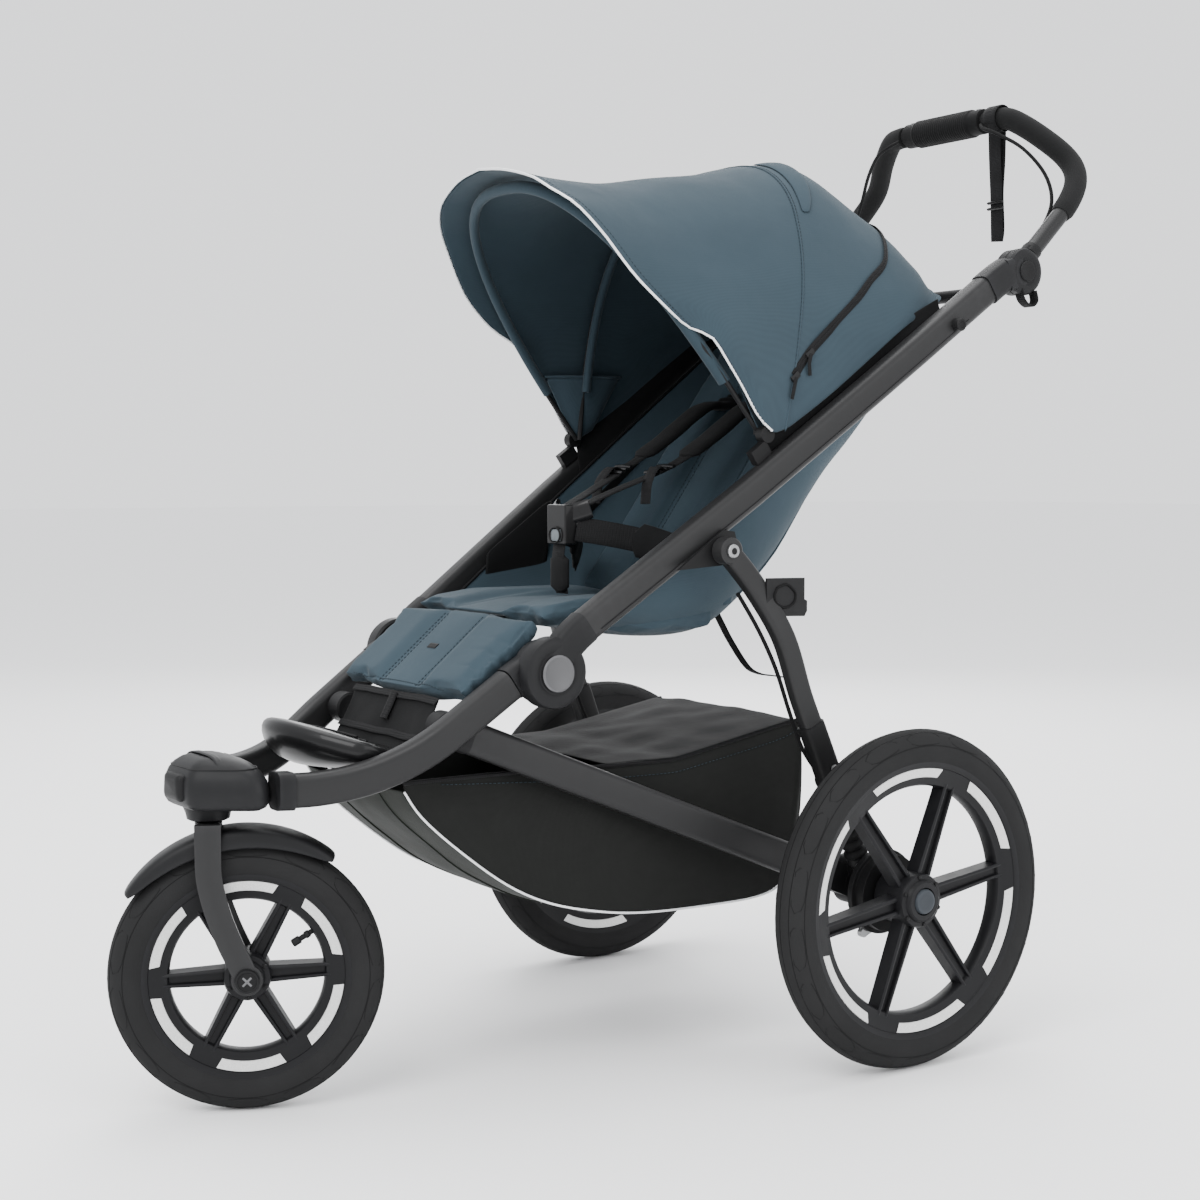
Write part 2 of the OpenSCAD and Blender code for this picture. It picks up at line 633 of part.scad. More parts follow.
// ---------- rear links ----------
link_path = smooth([[link_top_x + link_w / 2, link_top_y, link_top_z], [link_top_x + link_w / 2 + 2,
        50, 566],
    [link_low_x - 9, 84, 508], [link_low_x - 5, 107, 440], [link_low_x - 3, 129, 388], [link_low_x,
            150, 336]], 3);
bellow_top = [150, 336];
bellow_low = [194, 40];    // Y, and height above the axle
module rear_link() color("#3c3d3f") difference() {
    x0 = link_top_x;
    union() {
        bar([for (i = [1 : len(link_path) - 1]) link_path[i]], barrel(link_w, link_h, 6));
        rod(x0, x0 + link_w, link_top_y, link_top_z, link_eye_r);
        bar([[x0 + link_w / 2, link_top_y + 2, link_top_z - 2], link_path[1] + [0, 2, -2]],
                barrel(link_w, 24, 4));
    }
    rod(x0 - 1, x0 + link_w + 1, link_top_y, link_top_z, 6 + run);
}
module rear_link_left() rear_link();
module rear_link_right() mirror([1, 0, 0]) rear_link();
module suspension_bellows() color("#1a1b1c") both_sides() {
    a = [bellow_top[0] + gap / 2, bellow_top[1] - 2 * gap];
    b = [bellow_low[0], axle_z + bellow_low[1]];
    reach = norm(b - a);
    ribs = 6;
    pitch = reach / ribs;
    translate([link_low_x, a[0], a[1]]) rotate([atan2(a[0] - b[0], b[1] - a[1]), 0, 0])
        rotate_extrude($fn = 32) polygon(concat([[0, 0]],
            [for (i = [0 : ribs - 1]) each [[11, i * pitch + 0.5], [15, i * pitch + pitch / 2]]], [[11,
                    reach], [0, reach]]));
    rod(stay_back_x + 13, link_low_x + 10, link_foot[0], axle_z + link_foot[1], 10);
}
cable_d = 5;
module link_cables() color("#111213") both_sides() {
    x = link_low_x - link_w / 2 - cable_d / 2 - 2.7 * gap;
    tube(smooth([[x - 21, 36, 560], [x - 14, 62, 516], [x - 9, 84, 470], [x - 6, 102, 420], [x - 4,
            120, 376],
        [x, 140, 346]], 5), cable_d, [1, 0, 0], 8);
}

// ---------- handle ----------
handle_half = smooth([[handle_x - 7, handle_y + 24, handle_z + 23], [handle_x - 10, 535, handle_z + 52],
    [handle_x - 13, 582, handle_z + 97], [handle_x - 24, 608, handle_z + 132], [handle_x - 46, 614,
            handle_z + 162],
    [handle_x - 78, 596, handle_z + 194], [116, 580, grip_c[2] - 4], [92, 574.5, grip_c[2]],
    [80, grip_c[1], grip_c[2]]], 3);
handle_path = concat(handle_half, back(flipped(handle_half)));
handle_ref = [0, -0.6, 0.8];
function part_of(p, a, b) = [for (i = [a : b]) p[i]];
module handlebar() color("#2b2c2e") {
    disc_t = 14.7;
    tube(handle_path, bar_d, handle_ref, 16);
    both_sides() difference() {
        union() {
            rod(handle_in, handle_in + disc_t, handle_y, handle_z, handle_r);
            translate([handle_in, handle_y, handle_z]) rotate([43, 0, 0]) translate([0, 0,
                    -13]) cube([disc_t, 44, 26]);
        }
        rod(handle_in - 1, handle_in + disc_t + 1, handle_y, handle_z, 7 + run);
    }
}
foam_first = 5;       // rings of the path that stay bare at each end
module foam_grip() color("#1d1e1f") for (s = [0, 1]) mirror([s, 0, 0]) difference() {
    last = len(handle_half) - 1;
    tube(part_of(handle_half, foam_first, last), foam_d, handle_ref, 16);
    tube(concat([handle_half[foam_first] - 3 * heading(handle_half, foam_first)],
        part_of(handle_half, foam_first, last), [handle_half[last] - [9, 0, 0]]), bar_d + 1,
                handle_ref, 16);
}
module brake_grip() color("#141516") translate(grip_c) difference() {
    union() {
        rod(-grip_l / 2 + 1, grip_l / 2 - 1, 0, 0, grip_d / 2 - 2);
        rod(-grip_l / 2 + 22, grip_l / 2 - 22, 0, 0, grip_d / 2);
    }
    rod(-grip_l, grip_l, 0, 0, bar_d / 2 + 0.4);
}
module handle_cables() color("#101112") both_sides() tube(smooth([[79, 559.3, grip_c[2] - 7.4], [92,
        551, grip_c[2] - 15], [116, 552, grip_c[2] - 25],
    [150, 566, grip_c[2] - 48], [178, 578, grip_c[2] - 84], [194, 574, grip_c[2] - 122], [201, 548,
            grip_c[2] - 160],
    [203, 520, grip_c[2] - 190]], 5), cable_d, [0, 1, 0], 8);
module wrist_strap() color("#141516") {
    strap_w = 22;
    strap_x0 = 84;
    ring_in = foam_d / 2 + 1;
    translate([strap_x0 + strap_w / 2, grip_c[1] + 1.2, grip_c[2] - 0.6]) rotate([0, 0, 8]) difference() {
        rod(-strap_w / 2, strap_w / 2, 0, 0, ring_in + 2.5);
        rod(-strap_w, strap_w, 0, 0, ring_in);
    }
    translate([strap_x0, grip_c[1] - 2, grip_c[2] - 165]) cube([strap_w, 4, 164 - ring_in]);
}

// ---------- canopy ----------
clip_in = 196;
module canopy_clips() color("#151617") both_sides() {
    clip_w = canopy_x - cloth_t - 0.5 - clip_in;
    rod(clip_in, clip_in + clip_w, clip_y, clip_z, 10);
    foot_inset = 1;
    translate([clip_in + foot_inset, clip_y, tube_z(clip_y)]) rotate([tube_slope, 0, 0])
        translate([0, -4, tube_h / 2 + gap]) cube([clip_w - 2 * foot_inset, 26, 18]);
}
// Across a canopy ring, from one bottom end over the top to the other
function arch(low, top, w, n) = [for (i = [0 : n])
    let (a = 180 * i / n, c = cos(a), h = pow(sin(a) < 0.0001 ? 0 : sin(a), 0.8))
    [w * sign(c) * pow(abs(c), 0.8), bez(low[0], top[0], h), bez(low[1], top[1], h)]];
canopy_low = [[88, 748], [90, 747], [94, 749], [110, 758], [140, 776], [190, 808], [244, 845], [300, 884],
    [352, 919]];
canopy_top = [[-182, -0.11], [-60, -0.13], [100, -0.06], [190, -0.008], [245, 0], [298, -0.075], [352,
        -0.185],
    [392, -0.31], [414, -0.44]];
canopy_wide = [0, 0, 0, -1, -1, -2, -3, -5, -9];
bow_foot = [clip_y, clip_z];
function canopy_ring(k, t) = arch(canopy_low[k], [canopy_top[k][0],
        clip_z + canopy_h * (1 + canopy_top[k][1]) - t],
    canopy_x + canopy_wide[k] - t, 20);
module canopy_fabric() color("#4d6270") {
    rings = len(canopy_low);
    loft([for (k = [0 : rings - 1]) concat(canopy_ring(k, 0), back(canopy_ring(k, cloth_t)))],
            folded = true);
}
module bow(turn, rise, w) {
    path = [for (p = arch([0, 0], [rise, 0], w, 24)) bow_foot_3d(p, turn)];
    tube(path, bow_d, [0, cos(turn), sin(turn)], 8);
}
function bow_foot_3d(p, turn) = [p[0], bow_foot[0] + p[1] * cos(turn), bow_foot[1] + p[1] * sin(turn)];
bow_x = clip_in - gap - bow_d / 2;
module canopy_front_bow() color("#2b2c2e") bow(129, 372, bow_x);
module canopy_mid_bow() color("#2b2c2e") bow(86, 300, bow_x - bow_d - gap);

// ---------- basket ----------
basket_rings = [[-350, 352, 118], [-330, 322, 119], [-283, 280, 120.4], [-222, 235, 122.5], [-169, 208,
        130.6],
    [-108, 193, 142.6], [-47, 185, 146], [36, 182, 147], [150, 184, 147], [186, 283, 147]];
function basket_ring(r, t, top) = let (low = max(r[1] + basket_low - 182, basket_low) + t,
        w = r[2] + basket_x - 147 - t, hem = basket_hem + (top ? 80 : max(0, r[0]) * 0.18))
    [[-w + 14, r[0], low], [w - 14, r[0], low], [w, r[0], min(low + 20, hem - 1)], [w, r[0], hem],
     [-w, r[0], hem], [-w, r[0], min(low + 20, hem - 1)]];
module basket() color("#1d1e1d") {
    t = cloth_t;
    last = len(basket_rings) - 1;
    inner = concat([[basket_rings[0][0] + t, basket_rings[0][1], basket_rings[0][2]]],
        [for (i = [1 : last - 1]) basket_rings[i]],
        [[basket_rings[last][0] - t, basket_rings[last][1], basket_rings[last][2]]]);
    difference() {
        loft(back([for (r = basket_rings) basket_ring(r, 0, false)]));
        loft(back([for (r = inner) basket_ring(r, t, true)]));
    }
}
module basket_cover() color("#17181a") {
    w = basket_x - 1;
    z = basket_hem + pad_gap;
    loft(back([for (r = [[-96, w - 6], [-47, w - 1], [36, w], [150, w], [180, w]])
        let (h = z + max(0, r[0]) * 0.18)
        [[-r[1], r[0], h], [r[1], r[0], h], [r[1], r[0], h + cloth_t], [-r[1], r[0], h + cloth_t]]]));
}

nose_casting();
swivel_cup();
nose_latch();
front_tube_left();
front_tube_right();
hinge_knuckles();
frame_pins();
footrest();
footwell_panel();
legrest_pad();
fork();
front_fender();
front_axle();
front_rim();
front_tyre();
stay_left();
stay_right();
axle_beam();
axle_housings();
brake_backplates();
basket();
basket_cover();
rear_rim_left();
rear_rim_right();
rear_tyre_left();
rear_tyre_right();
hub_button_left();
hub_button_right();
brake_arm_left();
brake_arm_right();
brake_pedal();
upper_tube_left();
upper_tube_right();
hinge_discs();
hinge_badges();
link_brackets();
handle_housings();
rear_cross_bar();
accessory_studs();
seat_tub();
seat_cushion();
canopy_clips();
harness_straps();
harness_buckle();
buckle_button();
back_cushion();
rear_link_left();
rear_link_right();
suspension_bellows();
link_cables();
handlebar();
foam_grip();
brake_grip();
handle_cables();
wrist_strap();
height_button_left();
height_button_right();
canopy_front_bow();
canopy_mid_bow();
canopy_fabric();
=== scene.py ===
"""Looks of the three-wheel stroller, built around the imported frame. Lengths are written in millimetres."""
import json
import math

import bmesh
import bpy
from mathutils import Matrix, Vector, noise


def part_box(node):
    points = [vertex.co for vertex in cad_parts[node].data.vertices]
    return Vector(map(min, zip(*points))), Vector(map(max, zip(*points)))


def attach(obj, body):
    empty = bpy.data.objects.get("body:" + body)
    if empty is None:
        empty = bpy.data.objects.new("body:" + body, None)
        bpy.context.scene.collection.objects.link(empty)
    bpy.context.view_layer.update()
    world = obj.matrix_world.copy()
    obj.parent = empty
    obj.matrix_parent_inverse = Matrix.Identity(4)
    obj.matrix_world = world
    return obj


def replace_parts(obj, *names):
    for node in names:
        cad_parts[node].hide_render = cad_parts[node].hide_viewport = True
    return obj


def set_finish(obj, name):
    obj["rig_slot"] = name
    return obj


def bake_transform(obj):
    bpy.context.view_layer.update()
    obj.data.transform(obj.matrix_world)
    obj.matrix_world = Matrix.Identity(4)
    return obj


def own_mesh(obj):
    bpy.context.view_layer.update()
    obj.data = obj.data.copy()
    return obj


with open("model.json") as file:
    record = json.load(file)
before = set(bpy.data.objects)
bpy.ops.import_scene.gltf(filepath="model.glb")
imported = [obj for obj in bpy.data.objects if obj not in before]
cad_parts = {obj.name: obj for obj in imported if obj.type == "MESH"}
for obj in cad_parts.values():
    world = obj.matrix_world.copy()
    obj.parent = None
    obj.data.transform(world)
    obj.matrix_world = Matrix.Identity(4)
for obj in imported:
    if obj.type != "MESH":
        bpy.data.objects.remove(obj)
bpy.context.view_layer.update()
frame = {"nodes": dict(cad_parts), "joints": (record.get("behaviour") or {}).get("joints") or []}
NODES = frame["nodes"]


# ---------- camera, light and floor ----------
def look_at(obj, target):
    obj.rotation_euler = (Vector(target) - obj.location).to_track_quat("-Z", "Y").to_euler()


def link(obj):
    bpy.context.scene.collection.objects.link(obj)
    return obj


camera = link(bpy.data.objects.new("camera", bpy.data.cameras.new("camera")))
camera.location = (1.9584, -1.3626, 0.694)
look_at(camera, (0, -0.010, 0.5427))
camera.data.lens = 57.9
camera.data.sensor_width = 36
camera.data.clip_end = 60
bpy.context.scene.camera = camera


def area_light(name, place, size, power, colour=(1, 1, 1)):
    data = bpy.data.lights.new(name, "AREA")
    data.shape, data.size, data.energy, data.color = "SQUARE", size, power, colour
    lamp = link(bpy.data.objects.new(name, data))
    lamp.location = place
    look_at(lamp, (0, 0, 0.5))


area_light("key", (1.6, -3.0, 3.4), 2.4, 150)
area_light("fill", (3.6, 1.0, 1.8), 2.6, 55)
area_light("top", (-0.6, 0.4, 4.2), 3.2, 150)
area_light("rim", (-3.0, 2.2, 2.2), 2.2, 60)

world = bpy.data.worlds.new("studio")
world.use_nodes = True
world.node_tree.nodes["Background"].inputs["Color"].default_value = (0.94, 0.95, 0.97, 1)
world.node_tree.nodes["Background"].inputs["Strength"].default_value = 1.7
bpy.context.scene.world = world


# ---------- materials ----------
def node_of(tree, kind, **values):
    n = tree.nodes.new(kind)
    for key, value in values.items():
        if hasattr(n, key):
            setattr(n, key, value)
        else:
            n.inputs[key.replace("_", " ")].default_value = value
    return n


class Paint:
    """A Principled material with its nodes; every texture reads the piece's own coordinates."""

    def __init__(self, name, colour, roughness, **sockets):
        self.material = bpy.data.materials.new(name)
        self.material.use_nodes = True
        self.tree = self.material.node_tree
        self.shader = self.tree.nodes["Principled BSDF"]
        self.colour = colour
        self.shader.inputs["Base Color"].default_value = (*colour, 1)
        self.shader.inputs["Roughness"].default_value = roughness
        for key, value in sockets.items():
            self.shader.inputs[key.replace("_", " ")].default_value = value
        self.place = self.tree.nodes.new("ShaderNodeTexCoord").outputs["Object"]

    def join(self, a, b):
        self.tree.links.new(a, b)

    def noise(self, scale, detail=3.0, stretch=None):
        n = node_of(self.tree, "ShaderNodeTexNoise", Scale=scale, Detail=detail)
        self.join(self.spread(stretch), n.inputs["Vector"])
        return n.outputs["Fac"]

    def spread(self, stretch):
        if stretch is None:
            return self.place
        m = self.tree.nodes.new("ShaderNodeMapping")
        m.inputs["Scale"].default_value = stretch
        self.join(self.place, m.inputs["Vector"])
        return m.outputs["Vector"]

    def maths(self, operation, a, b=None):
        n = node_of(self.tree, "ShaderNodeMath", operation=operation)
        for socket, value in zip(n.inputs, (a, b)):
            if isinstance(value, (int, float)):
                socket.default_value = value
            elif value is not None:
                self.join(value, socket)
        return n.outputs[0]

    def weave(self, pitch):
        """A lattice of threads, the same on any side of the piece."""
        axes = self.tree.nodes.new("ShaderNodeSeparateXYZ")
        self.join(self.place, axes.inputs[0])
        turns = 2 * math.pi / pitch
        waves = [self.maths("SINE", self.maths("MULTIPLY", axes.outputs[i], turns)) for i in range(3)]
        total = self.maths("ADD", self.maths("ADD", waves[0], waves[1]), waves[2])
        return self.maths("MULTIPLY_ADD", total, 0.16)

    def tint(self, factor, low, high):
        """The colour runs from low to high times itself with the factor."""
        ramp = self.tree.nodes.new("ShaderNodeMix")
        ramp.data_type = "RGBA"
        ramp.inputs["A"].default_value = (*[c * low for c in self.colour], 1)
        ramp.inputs["B"].default_value = (*[min(1, c * high) for c in self.colour], 1)
        self.join(factor, ramp.inputs["Factor"])
        self.join(ramp.outputs["Result"], self.shader.inputs["Base Color"])

    def rough(self, factor, low, high):
        n = node_of(self.tree, "ShaderNodeMapRange")
        n.inputs["To Min"].default_value = low
        n.inputs["To Max"].default_value = high
        self.join(factor, n.inputs["Value"])
        self.join(n.outputs["Result"], self.shader.inputs["Roughness"])

    def bump(self, height, strength, distance):
        n = node_of(self.tree, "ShaderNodeBump", Strength=strength, Distance=distance)
        self.join(height, n.inputs["Height"])
        if self.shader.inputs["Normal"].is_linked:
            self.join(self.shader.inputs["Normal"].links[0].from_socket, n.inputs["Normal"])
        self.join(n.outputs["Normal"], self.shader.inputs["Normal"])

    def painted_edge_highlight(self, gain):
        """Painted highlight: corners are lightened as if they catch a little more light than the faces."""
        point = self.tree.nodes.new("ShaderNodeNewGeometry").outputs["Pointiness"]
        edge = node_of(self.tree, "ShaderNodeMapRange")
        edge.inputs["From Min"].default_value = 0.52
        edge.inputs["From Max"].default_value = 0.60
        self.join(point, edge.inputs["Value"])
        self.tint(self.maths("MULTIPLY", edge.outputs["Result"], self.noise(90)), 1.0, gain)


def cloth(name, colour, pitch=0.0011, sheen=0.25, roughness=0.86, strength=0.3, folds=0.35):
    p = Paint(name, colour, roughness, Sheen_Weight=sheen, Sheen_Roughness=0.45, Specular_IOR_Level=0.14)
    threads = p.weave(pitch)
    shade = p.maths("ADD", p.maths("MULTIPLY", p.noise(9, 4), 0.7), p.maths("MULTIPLY", threads, 0.4))
    p.tint(shade, 0.80, 1.22)
    p.rough(p.noise(35, 4), roughness - 0.08, min(1, roughness + 0.08))
    p.bump(p.noise(16, 3), folds, 0.004)
    p.bump(p.maths("ADD", threads, p.maths("MULTIPLY", p.noise(1500, 2), 0.4)), strength, 0.0004)
    return p.material


def webbing(name, colour):
    p = Paint(name, colour, 0.76, Sheen_Weight=0.03, Sheen_Roughness=0.4, Specular_IOR_Level=0.15)
    threads = p.weave(0.0022)
    p.tint(threads, 0.6, 1.6)
    p.bump(threads, 0.8, 0.0006)
    return p.material


def plastic(name, colour, roughness, grain=0.25, coat=0.0):
    p = Paint(name, colour, roughness, Coat_Weight=coat, Specular_IOR_Level=0.15)
    # Painted highlight: the corners are lightened as if they catch more light.
    p.painted_edge_highlight(2.2)
    p.rough(p.noise(40, 5), roughness - 0.06, roughness + 0.08)
    p.bump(p.noise(1400, 3), grain, 0.00025)
    return p.material


def metal(name, colour, roughness, metallic=0.75):
    p = Paint(name, colour, roughness, Metallic=metallic, Coat_Weight=0.04, Coat_Roughness=0.35,
              Specular_IOR_Level=0.2)
    # Painted highlight: the corners are lightened as if they catch more light.
    p.painted_edge_highlight(1.8)
    p.rough(p.noise(60, 5), roughness - 0.05, roughness + 0.07)
    p.bump(p.noise(2200, 2), 0.22, 0.0002)
    return p.material


def rubber(name, colour, roughness, grain=0.5, scale=500):
    p = Paint(name, colour, roughness, Specular_IOR_Level=0.09)
    p.tint(p.noise(14, 5), 0.82, 1.25)
    p.rough(p.noise(55, 4), roughness - 0.07, min(1, roughness + 0.1))
    p.bump(p.noise(scale, 3), grain, 0.0004)
    return p.material


def foam(name, colour):
    p = Paint(name, colour, 0.93, Sheen_Weight=0.03, Sheen_Roughness=0.6, Specular_IOR_Level=0.12)
    cells = node_of(p.tree, "ShaderNodeTexVoronoi", Scale=900)
    p.join(p.place, cells.inputs["Vector"])
    p.tint(p.noise(30, 4), 0.8, 1.3)
    p.bump(cells.outputs["Distance"], 0.5, 0.0005)
    return p.material


def reflective(name, colour):
    p = Paint(name, colour, 0.42, Metallic=0.35)
    cells = node_of(p.tree, "ShaderNodeTexVoronoi", Scale=700)
    p.join(p.place, cells.inputs["Vector"])
    p.tint(cells.outputs["Distance"], 0.82, 1.1)
    p.bump(cells.outputs["Distance"], 0.3, 0.0003)
    return p.material


M = {
    "frame_paint": metal("frame_paint", (0.0170, 0.0170, 0.0174), 0.44, 0.35),
    "fork_paint": metal("fork_paint", (0.019, 0.019, 0.0195), 0.44, 0.35),
    "casting_plastic": plastic("casting_plastic", (0.0075, 0.0076, 0.0082), 0.46),
    "dark_plastic": plastic("dark_plastic", (0.0055, 0.0055, 0.0058), 0.52, 0.35),
    "gloss_black": plastic("gloss_black", (0.0045, 0.0045, 0.0048), 0.34, 0.08, 0.15),
    "badge_grey": metal("badge_grey", (0.085, 0.085, 0.088), 0.42, 0.5),
    "button_grey": plastic("button_grey", (0.08, 0.09, 0.096), 0.5),
    "hub_cap_grey": plastic("hub_cap_grey", (0.026, 0.030, 0.035), 0.45),
    "steel": metal("steel", (0.22, 0.222, 0.225), 0.36, 0.95),
    "rim_black": plastic("rim_black", (0.0055, 0.0055, 0.0062), 0.44),
    "tyre": rubber("tyre", (0.0145, 0.0145, 0.0148), 0.80),
    "foam": foam("foam", (0.0068, 0.0069, 0.0071)),
    "rubber": rubber("rubber", (0.0050, 0.0050, 0.0052), 0.60, 0.3, 900),
    "canopy_cloth": cloth("canopy_cloth", (0.026, 0.0415, 0.053), sheen=0.05),
    "lining_cloth": cloth("lining_cloth", (0.022, 0.036, 0.046), sheen=0.08),
    "seat_cloth": cloth("seat_cloth", (0.0275, 0.0440, 0.0560), sheen=0.06),
    "black_cloth": cloth("black_cloth", (0.0042, 0.0043, 0.0046), sheen=0.04, roughness=0.85),
    "basket_cloth": cloth("basket_cloth", (0.0068, 0.0072, 0.0066), pitch=0.0014, sheen=0.05, roughness=0.82),
    "panel_cloth": cloth("panel_cloth", (0.0105, 0.0125, 0.0098), pitch=0.0014, sheen=0.05, roughness=0.82),
    "webbing": webbing("webbing", (0.0046, 0.0046, 0.0050)),
    "piping": reflective("piping", (0.78, 0.79, 0.80)),
    "reflector": reflective("reflector", (0.62, 0.62, 0.61)),
    "thread": webbing("thread", (0.014, 0.022, 0.028)),
}
# Pieces whose finish isn't a slot of its own in the record
SLOT_OF = {"lining_cloth": "canopy_cloth", "panel_cloth": "basket_cloth", "piping": "canopy_cloth",
           "reflector": "rim_black", "thread": "canopy_cloth"}


# ---------- making pieces ----------
def mm(p):
    return Vector(p) * 0.001


def finish_mesh(bm, name, finish, angle=40, smooth=True):
    bmesh.ops.recalc_face_normals(bm, faces=bm.faces)
    data = bpy.data.meshes.new(name)
    bm.to_mesh(data)
    bm.free()
    if smooth:
        data.shade_smooth()
        data.set_sharp_from_angle(angle=math.radians(angle))
    obj = link(bpy.data.objects.new(name, data))
    obj.data.materials.append(M[finish])
    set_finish(obj, SLOT_OF.get(finish, finish))
    return obj


def grid(name, rows, finish, closed=False, caps=False, angle=40):
    """A mesh through rows of points in millimetres; closed joins each row's ends."""
    bm = bmesh.new()
    verts = [[bm.verts.new(mm(p)) for p in row] for row in rows]
    n = len(rows[0])
    for a, b in zip(verts, verts[1:]):
        for i in range(n if closed else n - 1):
            j = (i + 1) % n
            bm.faces.new((a[i], a[j], b[j], b[i]))
    if caps:
        bm.faces.new(verts[0][::-1])
        bm.faces.new(verts[-1])
    return finish_mesh(bm, name, finish, angle)


def modify(obj, kind, **values):
    m = obj.modifiers.new(kind.lower(), kind)
    for key, value in values.items():
        setattr(m, key, value)
    return m


def settle(obj):
    """Modifiers become the mesh."""
    bpy.context.view_layer.update()
    deps = bpy.context.evaluated_depsgraph_get()
    data = bpy.data.meshes.new_from_object(obj.evaluated_get(deps))
    obj.modifiers.clear()
    obj.data = data
    return obj


def thicken(obj, thickness, offset=0.0, levels=1):
    modify(obj, "SOLIDIFY", thickness=thickness * 0.001, offset=offset)
    if levels:
        modify(obj, "SUBSURF", levels=levels, render_levels=levels)
    return settle(obj)


def run(line):
    return sum((Vector(b) - Vector(a)).length for a, b in zip(line, line[1:])) * 0.001


def sewn(name, rows, finish, thickness, offset):
    """A sheet of cloth through a grid."""
    rows = [[Vector(p) for p in r] for r in rows]
    obj = thicken(grid(name, rows, finish, angle=65), thickness, offset)
    for a, b in zip(rows, rows[1:]):
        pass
    wide, long = max(run(r) for r in rows), max(run(c) for c in zip(*rows))
    return obj


def spline(points, steps):
    """Catmull-Rom through the points, as Vectors in millimetres."""
    p = [Vector(q) for q in points]
    out = []
    for i in range(len(p) - 1):
        a, b, c, d = p[max(i - 1, 0)], p[i], p[i + 1], p[min(i + 2, len(p) - 1)]
        for k in range(steps):
            t = k / steps
            out.append(0.5 * (2 * b + (c - a) * t + (2 * a - 5 * b + 4 * c - d) * t * t
                              + (3 * b - a - 3 * c + d) * t ** 3))
    return out + [p[-1]]


def heading(path, i):
    return (path[min(i + 1, len(path) - 1)] - path[max(i - 1, 0)]).normalized()


def resample(path, count):
    """The same line with its points evenly spaced."""
    lengths = [0.0]
    for a, b in zip(path, path[1:]):
        lengths.append(lengths[-1] + (b - a).length)
    out, k = [], 0
    for i in range(count):
        s = lengths[-1] * i / (count - 1)
        while k < len(path) - 2 and lengths[k + 1] < s:
            k += 1
        t = (s - lengths[k]) / max(lengths[k + 1] - lengths[k], 1e-9)
        out.append(path[k].lerp(path[k + 1], min(1, t)))
    return out


def pipe(name, path, radius, finish, sides=12, flat=1.0):
    """A round cord along a path, by parallel transport; radius may be a function of the share of its length."""
    rows, side = [], None
    for i, p in enumerate(path):
        t = heading(path, i)
        if side is None:
            side = t.orthogonal().normalized()
        side = (side - t * side.dot(t)).normalized()
        up = t.cross(side)
        r = radius(i / (len(path) - 1)) if callable(radius) else radius
        rows.append([p + r * (math.cos(a) * side + flat * math.sin(a) * up)
                     for a in (2 * math.pi * k / sides for k in range(sides))])
    return grid(name, rows, finish, closed=True, caps=True, angle=50)


def ribbon(name, path, width, thickness, finish, across=(1, 0, 0), crown=0.0):
    """A flat band with rounded edges; across is its width's direction, one for all or one per point."""
    rows = []
    for i, p in enumerate(path):
        t = heading(path, i)
        a = Vector(across(i) if callable(across) else across)
        a = (a - t * a.dot(t)).normalized()
        n = t.cross(a)
        h, w = thickness / 2, width / 2
        section = [(-w, 0), (-w + h, h), (-w * 0.4, h + crown), (w * 0.4, h + crown), (w - h, h), (w, 0),
                   (w - h, -h), (-w + h, -h)]
        rows.append([p + a * x + n * y for x, y in section])
    return grid(name, rows, finish, closed=True, caps=True, angle=60)


def turned(name, centre, profile, finish, axis=(1, 0, 0), steps=64, angle=30):
    """A profile of (distance along the axis, radius) turned about an axis through centre."""
    along = Vector(axis).normalized()
    u = along.orthogonal().normalized()
    v = along.cross(u)
    c = Vector(centre)
    bm = bmesh.new()
    rows = []
    for x, r in profile:
        if r < 1e-6:
            rows.append([bm.verts.new(mm(c + along * x))])
        else:
            rows.append([bm.verts.new(mm(c + along * x + r * (math.cos(t) * u + math.sin(t) * v)))
                         for t in (2 * math.pi * k / steps for k in range(steps))])
    for a, b in zip(rows, rows[1:]):
        for k in range(steps):
            j = (k + 1) % steps
            corner = [a[k % len(a)], a[j % len(a)], b[j % len(b)], b[k % len(b)]]
            corner = list(dict.fromkeys(corner))
            if len(corner) > 2:
                bm.faces.new(corner)
    return finish_mesh(bm, name, finish, angle)


def section_bar(name, path, width, height, finish, corner=9, grow=0.0, caps=True):
    """A tube of rounded-box section whose rings hold the X direction."""
    w, h = width / 2 + grow, height / 2 + grow
    shape = []
    for sx, sy, start in ((1, 1, 0), (-1, 1, 90), (-1, -1, 180), (1, -1, 270)):
        for k in range(5):
            t = math.radians(start + 90 * k / 4)
            shape.append((sx * (w - corner) + corner * math.cos(t), sy * (h - corner) + corner * math.sin(t)))
    rows = []
    for i, p in enumerate(path):
        t = heading(path, i)
        up = Vector((0, t.z, -t.y)).normalized()
        rows.append([p + Vector((a, 0, 0)) + b * up for a, b in shape])
    return grid(name, rows, finish, closed=True, caps=caps, angle=40)


def dashes(name, path, normal, finish, length=3.2, pitch=5.0, radius=0.45):
    """A row of stitches lying along a path."""
    total = sum((b - a).length for a, b in zip(path, path[1:]))
    spots = resample(path, max(3, int(total / pitch)))
    bm = bmesh.new()
    for i, p in enumerate(spots):
        t = heading(spots, i)
        n = Vector(normal(p) if callable(normal) else normal)
        n = (n - t * n.dot(t)).normalized()
        side = t.cross(n)
        ends = []
        for s in (-1, 1):
            c = p + t * (s * length / 2)
            ends.append([bm.verts.new(mm(c + radius * (math.cos(a) * side + math.sin(a) * n)))
                         for a in (2 * math.pi * k / 5 for k in range(5))])
        mid = [bm.verts.new(mm(p + n * radius * 0.7 + radius * 1.15 * (math.cos(a) * side + math.sin(a) * n)))
               for a in (2 * math.pi * k / 5 for k in range(5))]
        for a, b in ((ends[0], mid), (mid, ends[1])):
            for k in range(5):
                bm.faces.new((a[k], a[(k + 1) % 5], b[(k + 1) % 5], b[k]))
        bm.faces.new(ends[0][::-1])
        bm.faces.new(ends[1])
    return finish_mesh(bm, name, finish, 60)


